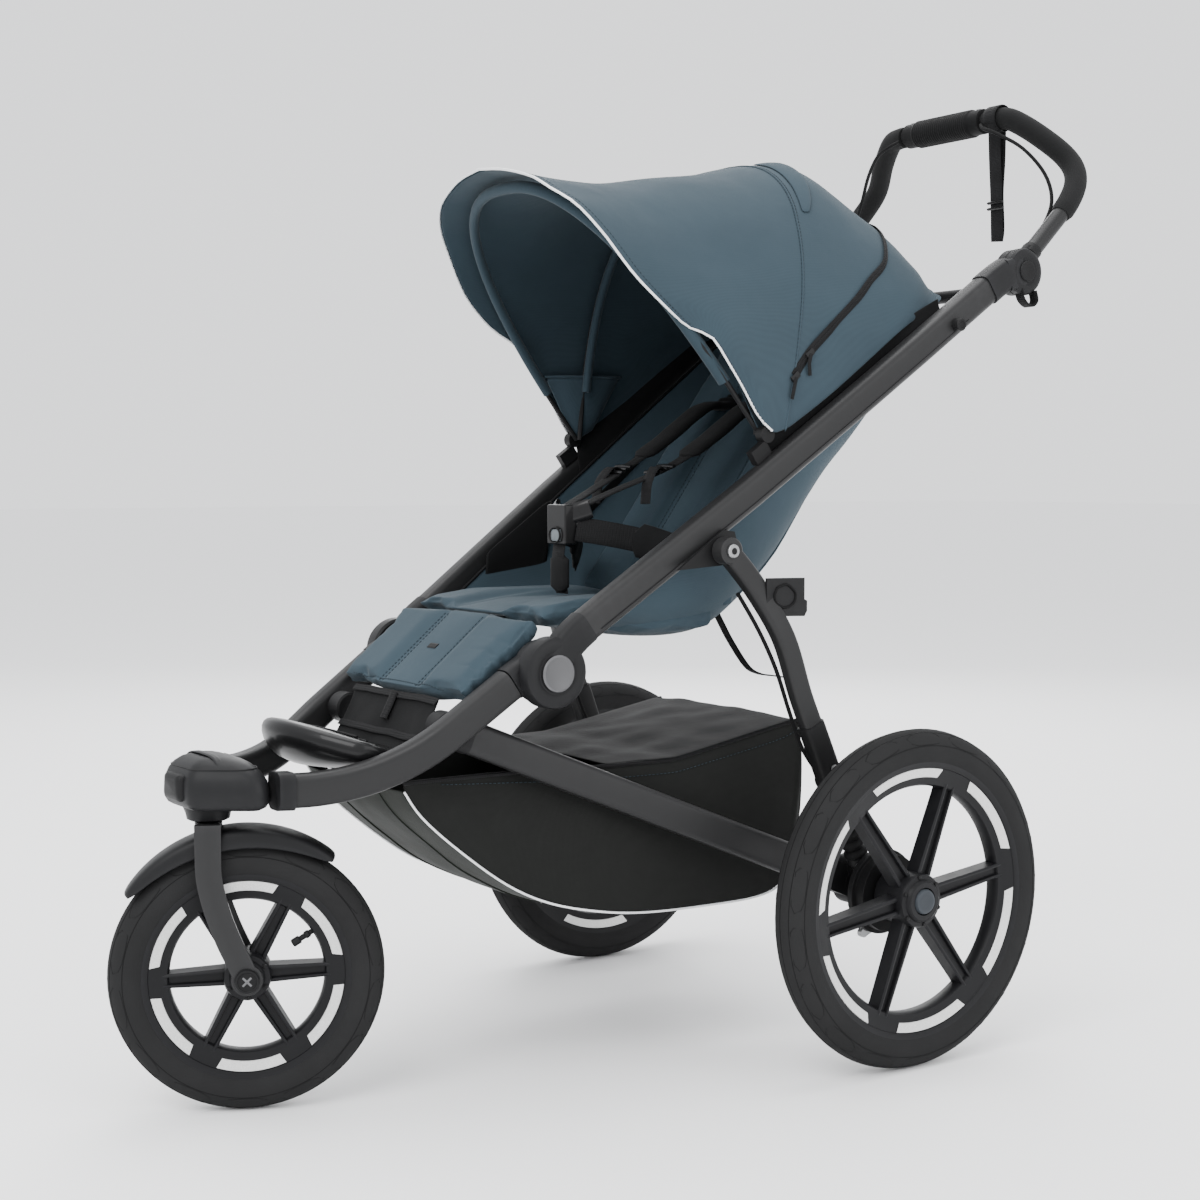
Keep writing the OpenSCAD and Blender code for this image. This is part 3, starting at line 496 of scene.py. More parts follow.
def oval(p, a, n, w, h, count, power=0.6, rise=1.0, lift=0.0):
    """A ring of a soft pad about p: w along a, h along n, rounder or squarer with the powers."""
    def bent(v, e):
        return math.copysign(abs(v) ** e, v) if e != 1.0 else v

    return [p + a * (w * bent(math.cos(q), power)) + n * (h * bent(math.sin(q), rise) + lift)
            for q in (2 * math.pi * k / count for k in range(count))]


def mirrored(p):
    return Vector((-p[0], p[1], p[2]))


def flip(path, side):
    return path if side > 0 else [mirrored(p) for p in path]


def soften(node, finish, body, width=1.6, sharp=34):
    """A CAD node with its edges rounded over, in its own place."""
    bm = bmesh.new()
    bm.from_mesh(NODES[node].data)
    bmesh.ops.remove_doubles(bm, verts=bm.verts, dist=2e-5)
    bmesh.ops.dissolve_limit(bm, angle_limit=math.radians(1.0), verts=bm.verts, edges=bm.edges)
    edges = [e for e in bm.edges if e.is_manifold and e.calc_face_angle(0) > math.radians(sharp)]
    bmesh.ops.bevel(bm, geom=edges, offset=width * 0.001, segments=3, profile=0.5, affect="EDGES",
                    clamp_overlap=True)
    obj = finish_mesh(bm, node + "_shell", finish, 32)
    modify(obj, "WEIGHTED_NORMAL", keep_sharp=True)
    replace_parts(obj, node)
    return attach(settle(obj), body)


def keep(node, finish):
    """A CAD node that shows as it is, with its finish."""
    data = NODES[node].data
    data.materials.clear()
    data.materials.append(M[finish])


def wrinkle(p, size, height):
    return height * noise.noise(Vector(p) / size)


# ---------- where things are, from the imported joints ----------
JOINT = {j["name"]: j for j in frame["joints"]}


def pivot(joint):
    return Vector(JOINT[joint]["pos_m"]) * 1000


SIDES = ((1, "left"), (-1, "right"))
FOLD = pivot("frame_fold")
HANDLE = pivot("handle_height")
CANOPY = pivot("canopy_front")
AXLE = pivot("rear_wheel_spin_left")
HUB = pivot("front_wheel_spin")
HUB_DIRECTION = Vector(JOINT["front_wheel_spin"]["axis"])
SLOPE = math.radians(35)
TUBE_W, TUBE_H = 27, 37


def tube_z(y):
    return FOLD.z + 19 + (y - FOLD.y) * math.tan(SLOPE)


# ---------- frame tubes ----------
FRONT_TUBE = [(76, -486, 359), (91, -450, 359.5), (107, -415, 365), (123, -384, 375), (139, -352, 391),
              (149, -322, 410), (153, -290, 432), (158, -241.5, tube_z(-241.5))]
UPPER_TUBE = [(176, -152.8, tube_z(-152.8)), (191, -45, tube_z(-45)), (205, 56, tube_z(56)),
              (217, 208, tube_z(208)), (223, 310, tube_z(310)), (227.5, 427, tube_z(427))]


def upper_x(y):
    for a, b in zip(UPPER_TUBE, UPPER_TUBE[1:]):
        if y <= b[1]:
            return a[0] + (b[0] - a[0]) * (y - a[1]) / (b[1] - a[1])
    return UPPER_TUBE[-1][0]


def frame_tubes():
    for side, word in SIDES:
        front = spline(FRONT_TUBE, 6)
        tube = section_bar(f"front_tube_{word}_skin", flip(front, side), TUBE_W, TUBE_H, "frame_paint")
        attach(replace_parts(tube, f"front_tube_{word}"), "front_frame")
        collar = section_bar(f"nose_collar_{word}", flip(front[:4], side), TUBE_W, TUBE_H, "casting_plastic",
                             grow=2.2)
        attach(collar, "front_frame")
        upper = section_bar(f"upper_tube_{word}_skin", flip([Vector(p) for p in UPPER_TUBE], side),
                            TUBE_W, TUBE_H, "frame_paint")
        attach(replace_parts(upper, f"upper_tube_{word}"), "upper_frame")
        seam = pipe(f"tube_seam_{word}", flip([Vector((upper_x(y) + 13.6, y, tube_z(y) - 12)) for y in
                                               range(-140, 420, 40)], side), 0.5, "dark_plastic", 6)
        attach(seam, "upper_frame")


# ---------- fold hinges ----------
def hinges():
    for side, word in SIDES:
        x = side * (FOLD.x + 168)
        centre = Vector((x, FOLD.y, FOLD.z))
        disc = turned(f"hinge_disc_{word}", centre,
                      [(-2.2, 0), (-2.2, 37), (0, 40), (16, 40), (19.5, 38.6), (21.6, 35.5), (22.2, 30),
                       (21.2, 25), (20.6, 24), (20.6, 21.6), (21.9, 21), (21.9, 0)],
                      "casting_plastic", (side, 0, 0))
        arm = [Vector((x + side * 8, y, tube_z(y) - drop)) for y, drop in
               ((-152.9, 0), (-166, 0.4), (-178, 2.5), (-189, 7.5), (-199, 13))]
        arm_piece = section_bar(f"hinge_arm_{word}", arm, TUBE_W, TUBE_H, "casting_plastic", grow=0.7)
        badge = turned(f"hinge_badge_{word}", centre,
                       [(21.5, 0), (21.5, 20), (23.2, 20.6), (24, 19.6), (24.2, 18), (23.8, 17.2), (23.8, 0)],
                       "badge_grey", (side, 0, 0))
        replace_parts(badge, "hinge_badges")
        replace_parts(disc, "hinge_discs")
        for piece in (disc, arm_piece, badge):
            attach(piece, "upper_frame")
        knuckle = turned(f"hinge_knuckle_{word}", centre,
                         [(-18, 9), (-18, 33), (-16, 36), (-4.5, 36), (-3, 35), (-3, 9)],
                         "casting_plastic", (side, 0, 0))
        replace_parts(knuckle, "hinge_knuckles")
        start = side * 158
        low = [Vector((start + side * s, y, tube_z(y) - drop)) for y, drop, s in
               ((-240.5, 0, 0), (-232, 0.3, 0.8), (-224, 1.5, 0.6), (-217, 3, -1))]
        low_piece = section_bar(f"hinge_root_{word}", low, TUBE_W, TUBE_H, "casting_plastic", grow=0.7)
        tongue = section_bar(f"hinge_tongue_{word}",
                             [Vector((x - side * 10.6, y, tube_z(y) - d)) for y, d in ((-222, 3), (-200, 14))],
                             14.4, TUBE_H - 4, "casting_plastic", corner=4)
        for piece in (knuckle, low_piece, tongue):
            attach(piece, "front_frame")


# ---------- nose, latch, swivel cup, fork ----------
def rounded_outline(corners, inset, radius, steps=5):
    """A convex outline drawn in by an inset, with round corners."""
    n = len(corners)
    pts = []
    for i in range(n):
        a, b, c = (Vector((*corners[k % n], 0)) for k in (i - 1, i, i + 1))
        u, v = (a - b).normalized(), (c - b).normalized()
        half = math.acos(max(-1, min(1, u.dot(v)))) / 2
        bisector = (u + v).normalized()
        centre = b + bisector * ((inset + radius) / math.sin(half))
        turn = math.pi - 2 * half
        outward = (b - centre).normalized()
        for k in range(steps):
            t = turn * (k / (steps - 1) - 0.5)
            pts.append(centre + radius * Vector((outward.x * math.cos(t) - outward.y * math.sin(t),
                                                 outward.x * math.sin(t) + outward.y * math.cos(t), 0)))
    return pts


def nose():
    low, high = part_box("nose_casting")
    front, rear = low.y * 1000, high.y * 1000
    bottom = low.z * 1000
    corners = [(-36, front), (36, front), (92, rear), (-92, rear)]
    levels = [(0, 9, 8), (3, 4, 12), (9, 0.5, 15), (20, 0, 16), (32, 1.0, 17), (41, 4.5, 18), (48, 10, 18),
              (52.5, 17, 16), (55, 26, 12)]
    rows = [[p + Vector((0, 0, bottom + z)) for p in rounded_outline(corners, inset, radius)]
            for z, inset, radius in levels]
    shell = grid("nose_shell", rows, "casting_plastic", closed=True, caps=True, angle=45)
    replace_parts(shell, "nose_casting")
    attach(shell, "front_frame")
    deck = [p + Vector((0, 0, bottom + 44.4)) for p in rounded_outline(corners, 6.9, 18)]
    groove = pipe("nose_deck_seam", deck + deck[:1], 0.9, "dark_plastic", 6)
    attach(groove, "front_frame")
    rib = [Vector((x, front + 34, bottom + z)) for x, z in ((-52, 24), (-50, 38), (-41, 50), (-22, 56.2),
                                                            (22, 56.2), (41, 50), (50, 38), (52, 24))]
    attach(ribbon("nose_rib", spline(rib, 4), 9, 2.4, "casting_plastic", (0, 1, 0)), "front_frame")
    a, b = (v * 1000 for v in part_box("nose_latch"))
    rows = []
    for y, grow in ((b.y - 3, 3), (a.y + 3, 3), (a.y + 0.6, 1.2), (a.y - 0.8, -3)):
        plan = rounded_outline([(a.x - grow - 3, a.z - grow), (b.x + grow + 3, a.z - grow),
                                (b.x + grow, b.z + grow + 5), (a.x - grow, b.z + grow + 5)], 0, 5)
        rows.append([Vector((p.x, y, p.y)) for p in plan])
    latch = grid("nose_latch_cover", rows, "dark_plastic", closed=True, caps=True, angle=45)
    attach(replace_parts(latch, "nose_latch"), "latch")
    cup_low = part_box("swivel_cup")[0] * 1000
    centre = Vector((0, pivot("front_swivel").y, cup_low.z))
    cup = turned("swivel_cup_shell", centre, [(0.2, 9.2), (0, 20), (1.6, 23.2), (8, 24.6), (15.5, 27.5),
                                              (19.5, 31), (19.5, 9.2)], "casting_plastic", (0, 0, 1))
    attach(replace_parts(cup, "swivel_cup"), "front_frame")


def fork_frame():
    """The fork's own directions, across and back, and its place."""
    side = HUB_DIRECTION.normalized()
    ahead = Vector((0, 0, 1)).cross(side)
    return side, ahead, Vector((0, pivot("front_swivel").y, 0))


def fork():
    side, ahead, origin = fork_frame()

    def place(x, y, z):
        return origin + side * x + ahead * y + Vector((0, 0, z))

    line = spline([(0, 0, 321), (0, 0, 292), (0, 1, 262), (0, 8, 230), (0, 20, 196), (0, 33, 167), (0, 40, 150)], 5)
    for s, word in SIDES:
        rows = []
        for i, p in enumerate(line):
            t = heading(line, i)
            across = Vector((0, t.z, -t.y))
            share = i / (len(line) - 1)
            half = 14.2 - 1.2 * share
            section = [(-1, -0.72), (-0.86, -1), (0, -1.06), (0.86, -1), (1, -0.72), (1, 0.72), (0.86, 1),
                       (0, 1.06), (-0.86, 1), (-1, 0.72)]
            rows.append([place(s * (31 + v * 4.4), p.y + across.y * half * u, p.z + across.z * half * u)
                         for u, v in section])
        blade = grid(f"fork_blade_{word}", rows, "fork_paint", closed=True, caps=True, angle=50)
        eye = turned(f"fork_eye_{word}", place(s * 31, 40, 150), [(-4.4, 0), (-4.4, 15), (-3, 17), (3, 17),
                                                                  (4.4, 15.4), (4.4, 0)],
                     "fork_paint", side * s)
        for piece in (blade, eye):
            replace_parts(piece, "fork")
            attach(piece, "fork_swivel")
        cap = turned(f"front_axle_cap_{word}", place(s * 35.6, 40, 150),
                     [(0, 13.4), (2.4, 13.6), (4.4, 12.4), (4.8, 10.6), (3.7, 9.6), (3.7, 0)], "dark_plastic",
                     side * s)
        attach(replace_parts(cap, "front_axle"), "fork_swivel")
        for k in range(2):
            a = math.radians(45 + 90 * k)
            d = ahead * math.cos(a) + Vector((0, 0, math.sin(a)))
            c = place(s * 39.4, 40, 150)
            bar = ribbon(f"axle_cross_{word}_{k}", [c - d * 6.5, c + d * 6.5], 2.4, 1.2, "badge_grey",
                         d.cross(side))
            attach(bar, "fork_swivel")
    crown = turned("fork_crown", place(0, 0, 314.8), [(0, 0), (0, 12), (1.4, 14.6), (5, 15), (6.6, 13.4),
                                                      (6.6, 9), (19, 9), (19, 0)], "fork_paint", (0, 0, 1))
    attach(crown, "fork_swivel")
    bridge = [place(x, 0, 317.6) for x in (-34, -30, 30, 34)]
    piece = ribbon("fork_bridge", bridge, 28, 6.4, "fork_paint", ahead)
    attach(piece, "fork_swivel")


def fender():
    side, ahead, origin = fork_frame()
    rows = []
    for k in range(37):
        share = k / 36
        a = math.radians(53 + 91 * share)
        centre = origin + ahead * 40 + Vector((0, 0, 150))
        out = ahead * math.cos(a) + Vector((0, 0, math.sin(a)))
        bell = math.sin(math.pi * share) ** 0.55
        half = 21 + 6.6 * bell
        crown = 160.5 + 3.6 * bell
        skirt = crown - (5 + 17 * bell)
        ring = [(-half, skirt), (-half * 0.98, crown - 5.5), (-half * 0.86, crown - 1.6), (-half * 0.55, crown),
                (0, crown + 0.5), (half * 0.55, crown), (half * 0.86, crown - 1.6), (half * 0.98, crown - 5.5),
                (half, skirt)]
        rows.append([centre + side * x + out * r for x, r in ring])
    piece = thicken(grid("front_fender_shell", rows, "casting_plastic", angle=60), 2.2, 0)
    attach(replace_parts(piece, "front_fender"), "fork_swivel")


# ---------- wheels ----------
def wheel(word, centre, direction, diameter, width, hub_out, hub_r, body, cap_r, rim_node, tyre_node, outer):
    """direction points out of the wheel's showing side; outer is how far the hub's face stands out."""
    along = direction.normalized()
    up = Vector((0, 0, 1))
    across = up.cross(along).normalized()

    def place(x, r, a):
        return centre + along * x + r * (math.cos(a) * across + math.sin(a) * up)

    R, bead = diameter / 2, diameter / 2 - 40
    w = width / 2
    rim_profile = [(-17, bead), (-18.6, bead + 3.4), (-17.2, bead + 4.4), (-15.5, bead + 1), (-9, bead - 2),
                   (9, bead - 2), (15.5, bead + 1), (17.2, bead + 4.4), (18.6, bead + 3.4), (17.4, bead - 1.5),
                   (16.6, bead - 3.5), (15.4, bead - 4.2), (12.2, bead - 15.5), (11.4, bead - 17.2),
                   (9.6, bead - 24), (6.5, bead - 26), (0, bead - 26.4), (-6.5, bead - 26), (-9.6, bead - 24),
                   (-12.2, bead - 15.5), (-15.4, bead - 4.2), (-17, bead)]
    rim = turned(f"{word}_rim_ring", centre, rim_profile, "rim_black", along, 96, 32)
    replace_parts(rim, rim_node)
    made = [rim]
    turn = math.radians(SPOKE_TURN[word])
    for k in range(6):
        a = turn + 2 * math.pi * k / 6
        rows = []
        for r in (hub_r - 6, hub_r + 8, (hub_r + bead) / 2, bead - 34, bead - 25, bead - 18):
            share = (r - hub_r) / (bead - hub_r)
            half = (11.6 - 3.2 * share if diameter > 350 else 10.4 - 2.6 * share) + 5.5 * max(0, share - 0.72)
            t = Vector(-math.sin(a) * across + math.cos(a) * up)
            c = place(0, r, a)
            ring = [(-half, -8), (-half * 0.9, 9.6), (-half * 0.68, 11), (-half * 0.5, 10.6),
                    (-half * 0.40, 6.2), (half * 0.40, 6.2), (half * 0.5, 10.6), (half * 0.68, 11),
                    (half * 0.9, 9.6), (half, -8), (half * 0.55, -10.5), (-half * 0.55, -10.5)]
            rows.append([c + t * y + along * x for y, x in ring])
        made.append(grid(f"{word}_spoke_{k}", rows, "rim_black", closed=True, caps=True, angle=30))
        arc = [turn + 2 * math.pi * k / 6 + math.radians(9 + 42 * j / 14) for j in range(15)]
        for face in (1, -1):
            rows = []
            for r, lift in ((bead - 15.6, 0), (bead - 15.1, 0.6), (bead - 5.0, 0.6), (bead - 4.5, 0)):
                x = 12.2 + 3.2 * (r - (bead - 15.5)) / 11.3 + lift
                trim = math.radians(1.6) * (bead - 5 - r) / 10
                rows.append([place(face * x, r, q + (trim if j < 7 else -trim)) for j, q in enumerate(arc)])
            made.append(grid(f"{word}_reflector_{k}{'a' if face > 0 else 'b'}", rows, "reflector", angle=40))
    hub = turned(f"{word}_hub", centre,
                 [(-hub_out[0], 0), (-hub_out[0], hub_r - 3), (-hub_out[0] + 3, hub_r), (outer - 9, hub_r),
                  (outer - 6, hub_r - 1.5), (outer - 5, hub_r - 6.5), (outer - 1.6, hub_r - 8),
                  (outer, hub_r - 10), (outer, cap_r + 1.4), (outer - 2, cap_r + 0.6), (outer - 17, cap_r + 0.4),
                  (outer - 17, 0)], "rim_black", along, 64, 30)
    made.append(hub)
    for k in range(6):
        a = turn + math.radians(30) + 2 * math.pi * k / 6
        c = place(outer - 5.6, hub_r - 3.6, a)
        made.append(turned(f"{word}_hub_rivet_{k}", c, [(0, 2.6), (1.6, 2.4), (2.2, 1.4), (2.2, 0)], "dark_plastic",
                           along, 12))
    tread = []
    for k in range(25):
        t = math.pi * (k / 24) - math.pi / 2
        tread.append((w * math.sin(t) * (1 if abs(math.sin(t)) < 0.97 else 0.985), R - w + w * math.cos(t) - 0.15))
    side_wall = [(w * 0.985, R - w - 3), (w * 0.93, R - w - 9), (w * 0.82, bead + 3.5), (w * 0.74, bead + 0.6)]
    profile = [(-x, r) for x, r in reversed(side_wall)] + tread + side_wall
    tyre = turned(f"{word}_tyre_casing", centre, profile, "tyre", along, 128, 60)
    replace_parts(tyre, tyre_node)
    made.append(tyre)
    made += tread_lines(word, place, R, w, diameter)
    for piece in made:
        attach(piece, body)


def tread_lines(word, place, R, w, diameter):
    """Grooves of the tread: round lines, and blocks with cut corners on each shoulder."""
    def on(t, a, depth=0.25):
        r = R - w + (w - depth) * math.cos(t)
        return place((w - depth) * math.sin(t), r, a)

    made = []
    count = 18 if diameter > 350 else 14
    step = 2 * math.pi / count
    for s in (1, -1):
        for t in (0.0, 0.52, 1.32) if s > 0 else (-0.52, -1.32):
            ring = [on(t, 2 * math.pi * k / 96) for k in range(97)]
            mark = f"{'p' if s > 0 else 'n'}{int(abs(t) * 100)}"
            made.append(pipe(f"{word}_tread_ring_{mark}", ring, 0.55, "rubber", 5))
    for k in range(count):
        for s in (1, -1):
            a0 = k * step + (step / 2 if s < 0 else 0)
            block = [(0.60, 0.18), (0.78, 0.10), (1.18, 0.14), (1.26, 0.30), (1.26, 0.66), (1.12, 0.80),
                     (0.80, 0.86), (0.60, 0.72)]
            line = [on(s * t, a0 + step * q) for t, q in block + block[:1]]
            fine = [r for p, q in zip(line, line[1:]) for r in (p.lerp(q, 0.0), p.lerp(q, 0.5))] + line[-1:]
            made.append(pipe(f"{word}_tread_block_{k}{'p' if s > 0 else 'n'}", fine, 0.5, "rubber", 5))
    return join_all(made, f"{word}_tread_grooves")


def join_all(objs, name):
    """Several meshes become one piece."""
    bm = bmesh.new()
    for o in objs:
        bm.from_mesh(o.data)
    data = bpy.data.meshes.new(name)
    bm.to_mesh(data)
    bm.free()
    data.shade_smooth()
    data.set_sharp_from_angle(angle=math.radians(50))
    for m in objs[0].data.materials:
        data.materials.append(m)
    obj = link(bpy.data.objects.new(name, data))
    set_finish(obj, objs[0]["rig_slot"])
    for o in objs:
        bpy.data.objects.remove(o)
    return [obj]


SPOKE_TURN = {"front": 2, "rear_left": 8, "rear_right": 8}


def wheels():
    wheel("front", HUB, HUB_DIRECTION, 300, 45, (25, 25), 26, "front_wheel", 8, "front_rim", "front_tyre", 26)
    for s, word in SIDES:
        centre = Vector((s * AXLE.x, AXLE.y, AXLE.z))
        wheel(f"rear_{word}", centre, Vector((s, 0, 0)), 400, 46, (31, 24), 32, f"wheel_{word}", 15,
              f"rear_rim_{word}", f"rear_tyre_{word}", 24)
        button = turned(f"hub_button_{word}_cap", centre, [(12, 0), (12, 14.8), (24, 14.8), (26.3, 13.6), (27, 11),
                                                            (26.4, 6), (26.2, 0)], "hub_cap_grey", (s, 0, 0), 48)
        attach(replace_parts(button, f"hub_button_{word}"), f"hub_button_{word[0]}")
    ahead = fork_frame()[1]
    a = math.radians(SPOKE_TURN["front"] + 30)
    valve_way = ahead * math.cos(a) + Vector((0, 0, 1)) * math.sin(a)
    foot = HUB + valve_way * 84
    valve = turned("valve_stem", foot, [(0, 3), (-4, 3), (-5, 4.2), (-9, 4.2), (-10, 3.2), (-16, 3), (-17, 4.6),
                                        (-25, 4.6), (-26, 3.6), (-26, 0)], "dark_plastic", valve_way, 20)
    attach(valve, "front_wheel")


# ---------- footwell ----------
def footrest():
    centre = [(-456, 420), (-448, 427), (-437, 426), (-397, 414), (-361, 396), (-334, 388.5), (-300, 388),
              (-300, 379), (-360, 374), (-409, 368), (-440, 380), (-454, 402)]
    end = [(-398, 398), (-393, 405), (-387, 406), (-372, 401), (-352, 392), (-334, 388.5), (-304, 388),
           (-304, 381), (-340, 381), (-372, 381), (-390, 383), (-397, 390)]
    rows = []
    for k in range(25):
        u = (k - 12) / 12
        f = 1 - u * u
        rows.append([(u * 108, e[0] + (c[0] - e[0]) * f, e[1] + (c[1] - e[1]) * f) for c, e in zip(centre, end)])
    tray = grid("footrest_tray", rows, "gloss_black", closed=True, caps=True, angle=60)
    modify(tray, "SUBSURF", levels=1, render_levels=1)
    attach(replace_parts(settle(tray), "footrest"), "front_frame")
    for k, (y, z) in enumerate(((-384, 409.5), (-372, 403.5), (-360, 397.8))):
        rib = [Vector((x, y + 0.0006 * x * x, z - 0.0004 * x * x)) for x in range(-66, 67, 11)]
        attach(pipe(f"footrest_rib_{k}", rib, 1.7, "rubber", 8), "front_frame")


def footwell_panel():
    low, high = (v * 1000 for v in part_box("footwell_panel"))
    rows = []
    for k in range(15):
        t = k / 14
        rows.append([Vector((x, low.y + 6 + (high.y - low.y - 8) * t + 1.2 * math.sin(x / 19) * math.sin(math.pi * t),
                             low.z + 2 + (high.z - low.z - 4) * t - 3.0 * math.sin(math.pi * t)
                             + wrinkle((x, t * 90, 3), 40, 2.0))) for x in range(-101, 102, 6)])
    panel = sewn("footwell_cloth", rows, "black_cloth", 2, 0)
    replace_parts(panel, "footwell_panel")
    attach(panel, "front_frame")
    for name, share in (("trim_top", 0.95), ("trim_low", 0.30)):
        line = [rows[int(share * 14)][i] + Vector((0, -1.5, 1.6)) for i in range(0, len(rows[0]), 3)]
        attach(ribbon("footwell_" + name, line, 9, 1.6, "webbing", (0, 0.7, 0.7)), "front_frame")
    tab = [rows[13][17] + Vector((0, -3, 3.5)), rows[10][17] + Vector((0, -3, 3)), rows[7][17] + Vector((0, -4, 3))]
    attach(ribbon("footwell_tab", tab, 16, 2.2, "webbing", (1, 0, 0)), "front_frame")


# ---------- padded pieces ----------
def blown(obj, pinned, pressure, limit, steps=20):
    """Cloth simulation: the closed cover fills with air and stays within limit of its start."""
    start = [v.co.copy() for v in obj.data.vertices]
    group = obj.vertex_groups.new(name="held")
    for v in obj.data.vertices:
        w = pinned(v.co * 1000)
        if w > 0:
            group.add([v.index], w, "REPLACE")
    scene = bpy.context.scene
    scene.frame_set(1)
    m = obj.modifiers.new("cloth", "CLOTH")
    s = m.settings
    s.vertex_group_mass = "held"
    s.quality = 7
    s.mass = 0.25
    s.tension_stiffness = s.compression_stiffness = 14
    s.shear_stiffness = 8
    s.bending_stiffness = 0.6
    s.use_pressure = True
    s.uniform_pressure_force = pressure
    s.effector_weights.gravity = 0
    m.collision_settings.use_collision = False
    m.point_cache.frame_start, m.point_cache.frame_end = 1, steps
    for f in range(1, steps + 1):
        scene.frame_set(f)
    settle(obj)
    scene.frame_set(1)
    for v, a in zip(obj.data.vertices, start):
        d = v.co - a
        if d.length > limit:
            v.co = a + d.normalized() * limit
    obj.vertex_groups.clear()


def cushion(node, finish, channels, normal, voxel=0.0048, shrink=3.0, pressure=4.0, limit=0.008, edge_seam=None,
            shape=None):
    """A padded copy of a CAD solid: shrunk, remeshed, held along its channels and blown up."""
    obj = link(bpy.data.objects.new(node + "_soft", NODES[node].data.copy()))
    obj.data.materials.clear()
    obj.data.materials.append(M[finish])
    modify(obj, "REMESH", mode="VOXEL", voxel_size=voxel)
    settle(obj)
    obj.data.materials.clear()
    obj.data.materials.append(M[finish])
    modify(obj, "SMOOTH", factor=0.6, iterations=6)
    settle(obj)
    n = Vector(normal).normalized()
    for v in obj.data.vertices:
        p = v.co * 1000
        if shape:
            p = shape(p, v.normal)
        groove = sum(math.exp(-(c(p) / 4.5) ** 2) for c in channels) * max(0, v.normal.dot(n))
        v.co = mm(p - v.normal * (shrink + 2.2 * groove))
    obj.data.update()

    def pinned(p):
        w = 0.0
        for c in channels:
            d = abs(c(p))
            w = max(w, 1.0 if d < 3.2 else 0.35 if d < 7 else 0)
        if edge_seam and edge_seam(p):
            w = 1.0
        return w

    blown(obj, pinned, pressure, limit)
    modify(obj, "SUBSURF", levels=1, render_levels=1)
    settle(obj)
    obj.data.shade_smooth()
    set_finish(obj, SLOT_OF.get(finish, finish))
    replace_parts(obj, node)
    return obj


def lay(obj, path, way, lift=0.0):
    """The path let down onto a mesh along way; points that miss it are left out."""
    d = Vector(way).normalized()
    out = []
    for p in path:
        hit, place, _, _ = obj.ray_cast(mm(p) - d * 0.06, d, distance=0.16)
        if hit:
            out.append(place * 1000 - d * lift)
    return out


def on_leg(s, x, lift=0.0):
    """A point of the legrest's top face: s from its front edge, x across."""
    a, b = Vector((0, -298, 456)), Vector((0, -197, 540))
    d = (b - a).normalized()
    return a + d * s + Vector((x, 0, 0)) + Vector((0, -d.z, d.y)) * lift


def legrest():
    up = (0, -0.64, 0.77)

    def fuller(p, n):
        """Wider than the CAD solid, and thicker on its underside."""
        below = 6 if n.dot(Vector(up)) < -0.3 else 0
        return Vector((p.x * 1.045, p.y, p.z)) - Vector(up) * below

    pad = cushion("legrest_pad", "seat_cloth", [lambda p, c=c: p.x - c for c in (-43, 43)], up, limit=0.007,
                  shrink=2.2, shape=fuller)
    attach(pad, "front_frame")
    for k, x in enumerate((-43, 43)):
        for d in (-3.4, 3.4):
            path = lay(pad, [on_leg(s, x + d, 2) for s in range(6, 126, 6)], (0, 0.64, -0.77), 0.3)
            if len(path) > 4:
                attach(dashes(f"legrest_stitch_{k}{'a' if d < 0 else 'b'}", path, up, "thread"), "front_frame")
    hem = lay(pad, [on_leg(7, x, 2) for x in range(-112, 113, 8)], (0, 0.64, -0.77), 0.3)
    if len(hem) > 4:
        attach(dashes("legrest_hem_stitch", hem, up, "thread"), "front_frame")
    tag = lay(pad, [on_leg(66, x, 2) for x in (-9, -5, 0, 5, 9)], (0, 0.64, -0.77), 0.6)
    if len(tag) > 3:
        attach(ribbon("legrest_tag", tag, 8, 1.0, "dark_plastic", (0, 0.77, 0.64)), "front_frame")


def seat_pads():
    seat = cushion("seat_cushion", "seat_cloth", [lambda p, c=c: p.x - c for c in (-48, 48)], (0, -0.1, 1),
                   limit=0.008)
    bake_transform(seat)
    along = Vector((0, math.cos(math.radians(54)), math.sin(math.radians(54))))
    face = Vector((0, -along.z, along.y))
    foot = Vector((0, 75, 527))

    def across(p):
        return (p - foot).dot(along)

    def shape(p, n):
        s = across(p)
        wing = max(0.0, abs(p.x) - 96) / 50
        front = max(0.0, n.dot(face))
        head = max(0, 1 - abs(s - 385) / 90)
        return p + face * front * (11 * wing * wing + 5 * head * (1 - wing))

    channels = [lambda p, c=c: p.x - c for c in (-52, 52)] + [lambda p: 60 if abs(p.x) > 52 else across(p) - 330]
    back = cushion("back_cushion", "seat_cloth", channels, face, shape=shape, limit=0.010)
    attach(back, "backrest")
    for k, x in enumerate((-52, 52)):
        for d in (-3.6, 3.6):
            path = lay(back, [foot + along * s + face * 36 + Vector((x + d, 0, 0)) for s in range(30, 450, 7)],
                       -face, 0.3)
            if len(path) > 5:
                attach(dashes(f"back_stitch_{k}{'a' if d < 0 else 'b'}", path, face, "thread"), "backrest")


# ---------- seat shell ----------
TUB_LOW = [(-122, 523), (-36, 509), (53, 507), (102, 529), (160, 583), (232, 680), (281, 731), (340, 812),
           (381, 906)]


